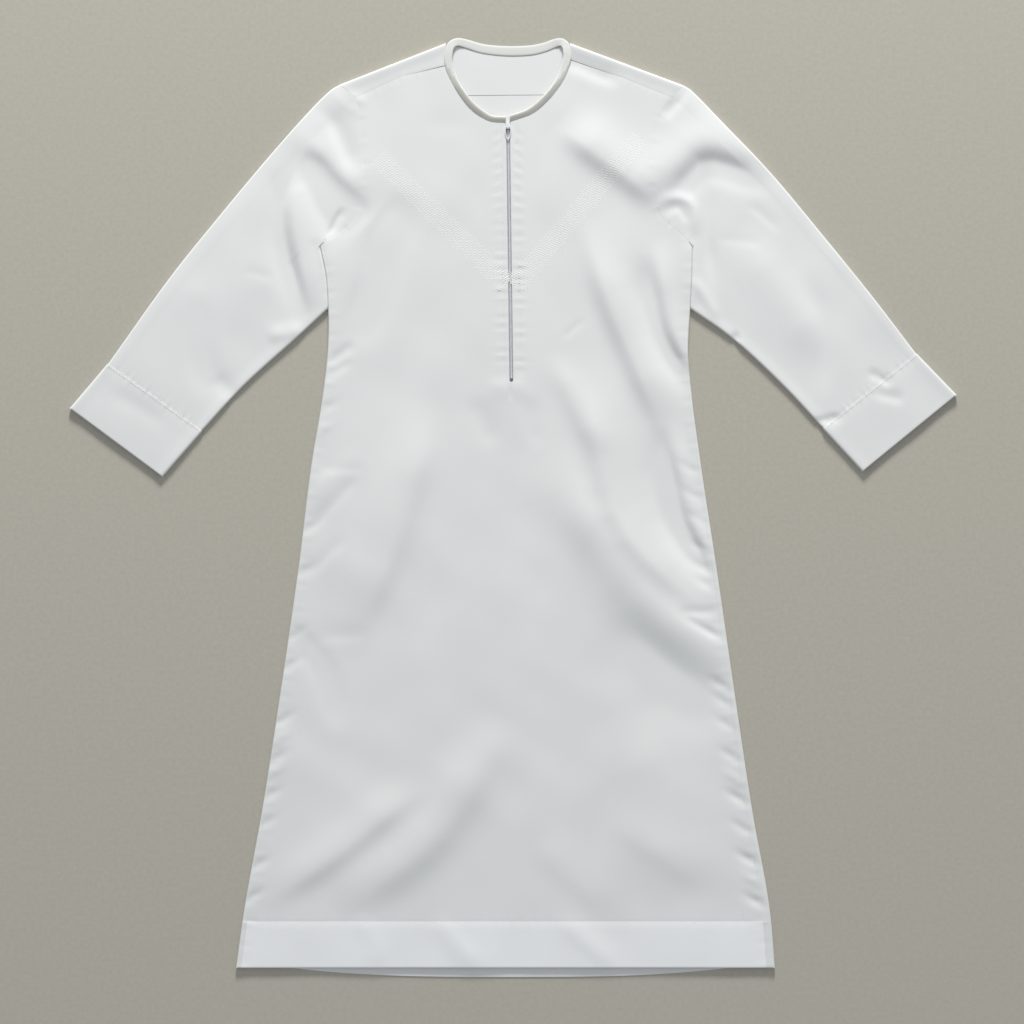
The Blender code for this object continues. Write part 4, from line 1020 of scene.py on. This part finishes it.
def make_cuff(sleeve, material):
    """A cuff: a doubled band round the sleeve's end."""
    shell = Shell()
    seam = cuff_seam(sleeve)
    edge = np.array(sleeve.cuff_edge, float)
    across = unit(seam[0] - seam[1])
    seam = seam + np.array((across, -across)) * CUFF_STEP
    length = np.linalg.norm(edge[0] - seam[0])
    inner = np.linspace(EDGE_STEPS[-1], length - EDGE_STEPS[-1], CUFF_LENGTH)[1:-1]
    away = np.concatenate((EDGE_STEPS, inner, length - EDGE_STEPS[::-1]))
    rings = []
    for run in away:
        ends = seam + (edge - seam) * run / length
        outward = unit(ends[0] - ends[1])
        inside = (ends[0] - outward * CUFF_RADIUS, ends[1] + outward * CUFF_RADIUS)
        line = between(*inside, CUFF_ACROSS)
        drop = float(roll_drop(length - run) + CUFF_RISE * (1 - smooth_step(run / CUFF_BLEND)))
        under = shell.lower(line)
        over = shell.upper(line, CUFF_CLOTH, CUFF_RADIUS, drop=drop)
        turned = [
            np.concatenate(shell.turn(end[None], out[None], CUFF_CLOTH, CUFF_RADIUS))
            for end, out in zip(ends, (outward, -outward))
        ]
        rings.append(np.concatenate((under, turned[1], over[::-1], turned[0][::-1], under[:1])))
    shell.grid(rings)
    return shell.build("cloth_cuff_" + sleeve.name, material)


def twist_at(x, y):
    """How deep the binding's twist creases are at a place."""
    total = TWIST_EVERYWHERE
    for twist in TWISTS:
        total += twist.depth * math.exp(-(math.dist((x, y), (twist.x, twist.y)) / twist.reach) ** 2)
    return total


def make_binding(material, painted_shade_material):
    """The rolled band round the neck, with a few twist creases, and painted shade on the outer sides of its
    rolled front.
    """
    points, faces = [], []
    for (x, y, half, bottom), across, along in zip(NECK_LINE, NECK_ACROSS, run_along(NECK_LINE)):
        twist = twist_at(x, y)
        rolled = float(smooth_step((ROLL_Y[0] - y) / ROLL_Y[1]))
        for roll, flat in zip(BINDING_ROLLED, BINDING_FLAT):
            out = half * (roll[0] * rolled + flat[0] * (1 - rolled))
            up = roll[1] * rolled + flat[1] * (1 - rolled)
            wave = 1 - twist * (1 + math.sin(along * TWIST_WAVES[0] + out * TWIST_WAVES[1]))
            points.append((*(np.array((x, y)) + across * out), bottom + up * wave))
    sides = len(BINDING_FLAT)
    for ring in range(len(NECK_LINE) - 1):
        for side in range(sides):
            here = ring * sides + side
            beside = ring * sides + (side + 1) % sides
            faces.append((here, beside, beside + sides, here + sides))
    last = (len(NECK_LINE) - 1) * sides
    faces.append(tuple(range(sides)))
    faces.append(tuple(range(last + sides - 1, last - 1, -1)))
    binding = piece("cloth_binding", points, faces, material)
    # painted shade: the outer sides of the rolled front take the darker cloth
    binding.data.materials.append(painted_shade_material)
    for ring in range(len(NECK_LINE) - 1):
        for side in range(round(float(np.interp(NECK_LINE[ring, 1], SHADED_Y, SHADED_SIDES)))):
            binding.data.polygons[ring * sides + side].material_index = 1
    return binding


def piece(name, points, faces, material):
    return add_object(name, outward_shape(points, faces), material, PIECE_ANGLE)


class Thread:
    """Stitches gathered into one mesh, each a small lens lying along its line."""

    def __init__(self):
        self.points = []
        self.faces = []

    def stitch(self, start, end, half, rise):
        run = end - start
        along = run / np.linalg.norm(run)
        flat = np.array((along[1], -along[0], 0.0))
        flat = flat / np.linalg.norm(flat)
        up = np.array((0, 0, rise))
        near, far = start + run * STITCH_END, end - run * STITCH_END
        first = len(self.points)
        self.points += [start - up, near + flat * half, far + flat * half, end - up, far - flat * half,
                        near - flat * half, near + up, far + up]
        for face in ((0, 1, 6), (1, 2, 7, 6), (2, 3, 7), (3, 4, 7), (4, 5, 6, 7), (5, 0, 6)):
            self.faces.append(tuple(first + index for index in face))

    def line(self, plan, stitch=TOPSTITCH, height=None, sink=STITCH_SINK):
        """A row of stitches along a line in plan, on the cloth's top."""
        plan = np.asarray(plan, float)
        run = run_along(plan)
        step = stitch.length + stitch.gap
        count = int(run[-1] // step)
        starts = np.arange(count) * step + stitch.gap / 2
        ends = starts + stitch.length
        where = np.concatenate((starts, ends))
        x, y = (np.interp(where, run, plan[:, axis]) for axis in (0, 1))
        z = cloth_top(x, y, body_cloth(y)) if height is None else height(x, y)
        points = np.column_stack((x, y, z - sink))
        self.stitches(points[:count], points[count:], stitch)

    def scattered(self, starts, ends, stitch, sink):
        """Single stitches between pairs of places in plan, on the cloth's top."""
        where = np.vstack((starts, ends))
        points = np.column_stack((where, cloth_top(*where.T) - sink))
        self.stitches(points[: len(starts)], points[len(starts) :], stitch)

    def stitches(self, starts, ends, stitch):
        for start, end in zip(starts, ends):
            self.stitch(start, end, stitch.half, stitch.rise)


def offset_line(line, distance):
    line = np.asarray(line, float)
    return line[:, :2] + plan_normals(line) * distance


def cuff_height(x, y):
    return cloth_top(x, y, CUFF_CLOTH, CUFF_RADIUS)


def make_sewing(material):
    """The rows of stitches beside the zip and along the hem, armholes, yoke and cuffs."""
    thread = Thread()
    heights = np.linspace(ZIP_END_Y + ZIP_STITCHED[0], ZIP_TOP[1] + ZIP_STITCHED[1], SEAM_POINTS)
    for offset in TOPSTITCH_OFFSETS:
        thread.line(np.column_stack((zip_x(heights) + offset, heights)))
    foot = zip_x(ZIP_END_Y)
    for below in ZIP_BARS:
        thread.line([(foot + offset, ZIP_END_Y - below) for offset in TOPSTITCH_OFFSETS])
    left, right = (side_at(HEM_SEAM_Y, side) for side in ("left", "right"))
    hem_y = HEM_SEAM_Y - HEM_STITCHED
    thread.line([(left + HEM_STITCH_INSETS[0], hem_y), (right - HEM_STITCH_INSETS[1], hem_y)])
    for sleeve in SLEEVES:
        armhole = even_curve(sleeve.armhole, SEAM_POINTS)
        for rows, side in zip(ARMHOLE_ROWS, (-sleeve.side, sleeve.side)):
            thread.line(offset_line(armhole, ARMHOLE_STITCHED * side)[:rows])
        thread.line(np.array(yoke_seam(sleeve)) + np.array((0, YOKE_STITCHED)))
        seam = cuff_seam(sleeve)
        along = unit(np.array(sleeve.cuff_edge[0]) - seam[0])
        shrink = unit(seam[1] - seam[0]) * CUFF_STITCH_INSET
        thread.line(seam + np.array((shrink, -shrink)) + along * CUFF_STITCHED, height=cuff_height)
    return piece("sewing", thread.points, thread.faces, material)


def make_embroidery(material):
    """A generic geometric band down each side of the chest, in thread the colour of the cloth."""
    thread = Thread()
    for start, end in V_ARMS:
        start, end = np.array(start, float), np.array(end, float)
        along = unit(end - start)
        across = np.array((along[1], -along[0]))
        length = np.linalg.norm(end - start)
        for v in (-V_HALF, -V_HALF + V_EDGE, V_HALF - V_EDGE, V_HALF):
            row = start + across * v + np.outer((0, length), along)
            thread.line(row, EDGE_STITCH, sink=EMBROIDERY_SINK)
        inside = V_HALF - V_MARGIN
        firsts = np.arange(-2 * inside, length, V_PITCH)
        for lean in (1, -1):
            first, steps = np.meshgrid(firsts, np.arange(0, 2 * inside, V_STEP))
            u = (first + steps).ravel()
            v = lean * (steps - inside).ravel()
            kept = (u > 0) & (u < length)
            spots = start + np.outer(u[kept], along) + np.outer(v[kept], across)
            step = (along + across * lean) * V_STEP * V_STITCH
            thread.scattered(spots - step, spots + step, FILL_STITCH, EMBROIDERY_SINK)
    return piece("embroidery", thread.points, thread.faces, material)


def make_teeth(material):
    """The closed zip's teeth: two rows of small rounded blocks that mesh."""
    points, faces = [], []
    wide, long, tall = TOOTH
    crown_half, crown_foot, crown_rise = TOOTH_CROWN
    low = CHAIN_BOTTOM + CHAIN_RISE
    count = int((CHAIN_ENDS_Y[1] - CHAIN_ENDS_Y[0]) / TOOTH_PITCH)
    for index in range(count):
        for side, shift in ((-1, 0.0), (1, 0.5)):
            y = CHAIN_ENDS_Y[0] + (index + shift) * TOOTH_PITCH
            inner = zip_x(y) - side * TOOTH_PAST_MIDDLE
            outer = zip_x(y) + side * (wide - TOOTH_PAST_MIDDLE)
            first = len(points)
            for x, (half_share, top) in ((inner, TOOTH_INNER), (outer, TOOTH_OUTER)):
                half = long * half_share
                crown = half * crown_half
                foot = low + tall * crown_foot * top
                head = low + tall * top + crown_rise
                points += [
                    (x, y - half, low), (x, y + half, low), (x, y + half, foot),
                    (x, y + crown, head), (x, y - crown, head), (x, y - half, foot),
                ]
            ring = list(range(first, first + 6))
            faces.append(tuple(ring))
            faces.append(tuple(corner + 6 for corner in ring[::-1]))
            for here, beside in zip(ring, ring[1:] + ring[:1]):
                faces.append((here, beside, beside + 6, here + 6))
    return piece("zip_teeth", points, faces, material)


# Materials


def node(tree, kind, **inputs):
    made = tree.nodes.new(kind)
    for name, value in inputs.items():
        made.inputs[name.replace("_", " ")].default_value = value
    return made


def noise_on(tree, place, scale, detail, roughness):
    """A noise over an object's own coordinates."""
    noise = node(tree, "ShaderNodeTexNoise", Scale=scale, Detail=detail, Roughness=roughness)
    tree.links.new(place, noise.inputs["Vector"])
    return noise


def object_place(tree):
    return tree.nodes.new("ShaderNodeTexCoord").outputs["Object"]


def new_material(name, colour, roughness, metallic=0.0):
    material = bpy.data.materials.new(name)
    material.use_nodes = True
    shader = material.node_tree.nodes["Principled BSDF"]
    shader.inputs["Base Color"].default_value = (*colour, 1)
    shader.inputs["Roughness"].default_value = roughness
    shader.inputs["Metallic"].default_value = metallic
    return material, material.node_tree, shader


def two_tones(tree, shader, noise, colours, spread):
    """The shader's colour, which follows a noise from the dark tone to the light one."""
    ramp = tree.nodes.new("ShaderNodeValToRGB")
    for element, position, colour in zip(ramp.color_ramp.elements, spread, colours[::-1]):
        element.position = position
        element.color = (*colour, 1)
    tree.links.new(noise.outputs["Fac"], ramp.inputs["Fac"])
    tree.links.new(ramp.outputs["Color"], shader.inputs["Base Color"])


def cloth_material(name, colours, turn=0.0, thread=0.55, weave=0.12, sheen=0.15):
    """A plain weave: two crossed bands of threads, uneven yarn, and slight changes of tone."""
    material, tree, shader = new_material(name, colours[0], CLOTH_ROUGHNESS)
    links = tree.links
    shader.inputs["Sheen Weight"].default_value = sheen
    shader.inputs["Sheen Roughness"].default_value = 0.45
    shader.inputs["Specular IOR Level"].default_value = 0.3
    place = object_place(tree)
    mapping = tree.nodes.new("ShaderNodeMapping")
    mapping.inputs["Rotation"].default_value = (0, 0, turn)
    links.new(place, mapping.inputs["Vector"])
    waves = []
    for direction in ("X", "Y"):
        wave = tree.nodes.new("ShaderNodeTexWave")
        wave.bands_direction = direction
        wave.inputs["Scale"].default_value = 1 / (thread * MM) / WAVE_NODE * math.pi
        wave.inputs["Distortion"].default_value = 0.6
        wave.inputs["Detail"].default_value = 1.0
        links.new(mapping.outputs["Vector"], wave.inputs["Vector"])
        waves.append(wave)
    crossed = tree.nodes.new("ShaderNodeMath")
    crossed.operation = "MAXIMUM"
    links.new(waves[0].outputs["Fac"], crossed.inputs[0])
    links.new(waves[1].outputs["Fac"], crossed.inputs[1])
    slub = noise_on(tree, mapping.outputs["Vector"], scale=260.0, detail=3.0, roughness=0.6)
    total = tree.nodes.new("ShaderNodeMath")
    total.operation = "MULTIPLY_ADD"
    total.inputs[1].default_value = 0.6
    links.new(crossed.outputs[0], total.inputs[0])
    links.new(slub.outputs["Fac"], total.inputs[2])
    bump = node(tree, "ShaderNodeBump", Strength=weave, Distance=0.0004)
    links.new(total.outputs[0], bump.inputs["Height"])
    links.new(bump.outputs["Normal"], shader.inputs["Normal"])
    tone = noise_on(tree, place, scale=5.0, detail=3.0, roughness=0.5)
    two_tones(tree, shader, tone, colours, CLOTH_SPREAD)
    return material


def metal_material(name, colours):
    """Satin plating with faint wear."""
    material, tree, shader = new_material(name, colours[0], METAL_ROUGHNESS, METAL_SHARE)
    wear = noise_on(tree, object_place(tree), scale=900.0, detail=4.0, roughness=0.6)
    two_tones(tree, shader, wear, colours, METAL_SPREAD)
    bump = node(tree, "ShaderNodeBump", Strength=0.1, Distance=0.0001)
    tree.links.new(wear.outputs["Fac"], bump.inputs["Height"])
    tree.links.new(bump.outputs["Normal"], shader.inputs["Normal"])
    return material


def floor_material():
    """A plain pale warm grey surface with a faint mottle."""
    material, tree, shader = new_material("floor", FLOOR[0], FLOOR_ROUGHNESS)
    mottle = noise_on(tree, object_place(tree), scale=160.0, detail=6.0, roughness=0.7)
    two_tones(tree, shader, mottle, FLOOR, CLOTH_SPREAD)
    return material


# Floor, light and camera


def add_floor():
    half = FLOOR_HALF
    corners = [(-half, -half, 0), (half, -half, 0), (half, half, 0), (-half, half, 0)]
    mesh = bpy.data.meshes.new("floor")
    mesh.from_pydata(corners, [], [(0, 1, 2, 3)])
    mesh.materials.append(floor_material())
    floor = bpy.data.objects.new("floor", mesh)
    floor.location.z = FLOOR_Z
    bpy.context.scene.collection.objects.link(floor)


def add_light(name, place, aim, size, energy, colour):
    lamp = bpy.data.lights.new(name, "AREA")
    lamp.shape = "DISK"
    lamp.size = size
    lamp.energy = energy
    lamp.color = colour
    thing = bpy.data.objects.new(name, lamp)
    thing.location = place
    direction = thing.location - type(thing.location)(aim)
    thing.rotation_euler = direction.to_track_quat("Z", "Y").to_euler()
    bpy.context.scene.collection.objects.link(thing)


def add_lights():
    add_light("window", WINDOW_PLACE, WINDOW_AIM, WINDOW_SIZE, WINDOW_POWER, WINDOW_COLOUR)
    world = bpy.data.worlds.new("room")
    world.use_nodes = True
    background = world.node_tree.nodes["Background"]
    background.inputs["Color"].default_value = (*ROOM_COLOUR, 1)
    background.inputs["Strength"].default_value = ROOM_STRENGTH
    bpy.context.scene.world = world
    bpy.context.scene.view_settings.view_transform = "Standard"


def add_camera():
    camera = bpy.data.cameras.new("overhead")
    camera.sensor_width = SENSOR
    camera.lens = SENSOR * CAMERA[2] / FRAME_WIDTH
    thing = bpy.data.objects.new("overhead", camera)
    thing.location = CAMERA
    bpy.context.scene.collection.objects.link(thing)
    bpy.context.scene.camera = thing


def attach(thing, slot, *nodes, body="garment"):
    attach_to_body(thing, body)
    if nodes:
        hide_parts(*nodes)


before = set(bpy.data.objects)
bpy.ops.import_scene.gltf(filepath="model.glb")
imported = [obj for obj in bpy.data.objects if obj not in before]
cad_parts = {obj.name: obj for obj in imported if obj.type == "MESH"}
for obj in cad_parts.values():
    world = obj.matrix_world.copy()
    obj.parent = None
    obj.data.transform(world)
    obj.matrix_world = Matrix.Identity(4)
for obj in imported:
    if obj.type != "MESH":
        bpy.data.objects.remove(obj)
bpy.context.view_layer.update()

white = cloth_material("white_cloth_woven", WHITE)
band = cloth_material("band_cloth_woven", BAND, turn=BAND_TURN)
thread_white = cloth_material("thread", THREAD, weave=0.2, sheen=0.3)
tape = cloth_material("zip_tape_woven", TAPE, thread=0.4)
metal = metal_material("nickel", NICKEL)

hem = cloth_material("white_cloth_hem", HEM)
front = make_front(white, hem)
attach(front, "white_cloth", "body_front")
back = make_back(white)
attach(back, "white_cloth", "body_back")
yoke = make_yoke(white)
attach(yoke, "white_cloth", "yoke")
for sleeve in SLEEVES:
    side = sleeve.name
    cloth = cloth_material(f"white_cloth_sleeve_{side}", WHITE, turn=sleeve.side * SLEEVE_TURN)
    sleeve_shell = make_sleeve(sleeve, cloth)
    attach(sleeve_shell, "white_cloth", "sleeve_" + side)
    cuff_shell = make_cuff(sleeve, cloth)
    attach(cuff_shell, "band_cloth", "cuff_" + side)
# darker binding cloth as painted shade on the rolled front
painted_shade_cloth = cloth_material("binding_cloth_painted_shade", BAND_PAINTED_SHADE, turn=BAND_TURN)
binding = make_binding(band, painted_shade_cloth)
attach(binding, "band_cloth", "neck_binding")
attach(make_sewing(thread_white), "white_cloth")
embroidery_thread = cloth_material("embroidery_thread", EMBROIDERY, weave=0.2)
attach(make_embroidery(embroidery_thread), "white_cloth")
attach(make_teeth(metal), "zip_metal", "zip_chain")

for name, material in (
    ("zip_tape_left", tape), ("zip_tape_right", tape), ("zip_slider", metal), ("zip_pull", metal),
):
    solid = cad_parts[name]
    solid.data.materials.clear()
    solid.data.materials.append(material)
for name in ("zip_slider", "zip_pull"):
    soft_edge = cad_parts[name].modifiers.new("soft edge", "BEVEL")
    soft_edge.width = METAL_BEVEL * MM
    soft_edge.segments = 2
    soft_edge.limit_method = "ANGLE"
    soft_edge.angle_limit = math.radians(40)

add_floor()
add_lights()
add_camera()
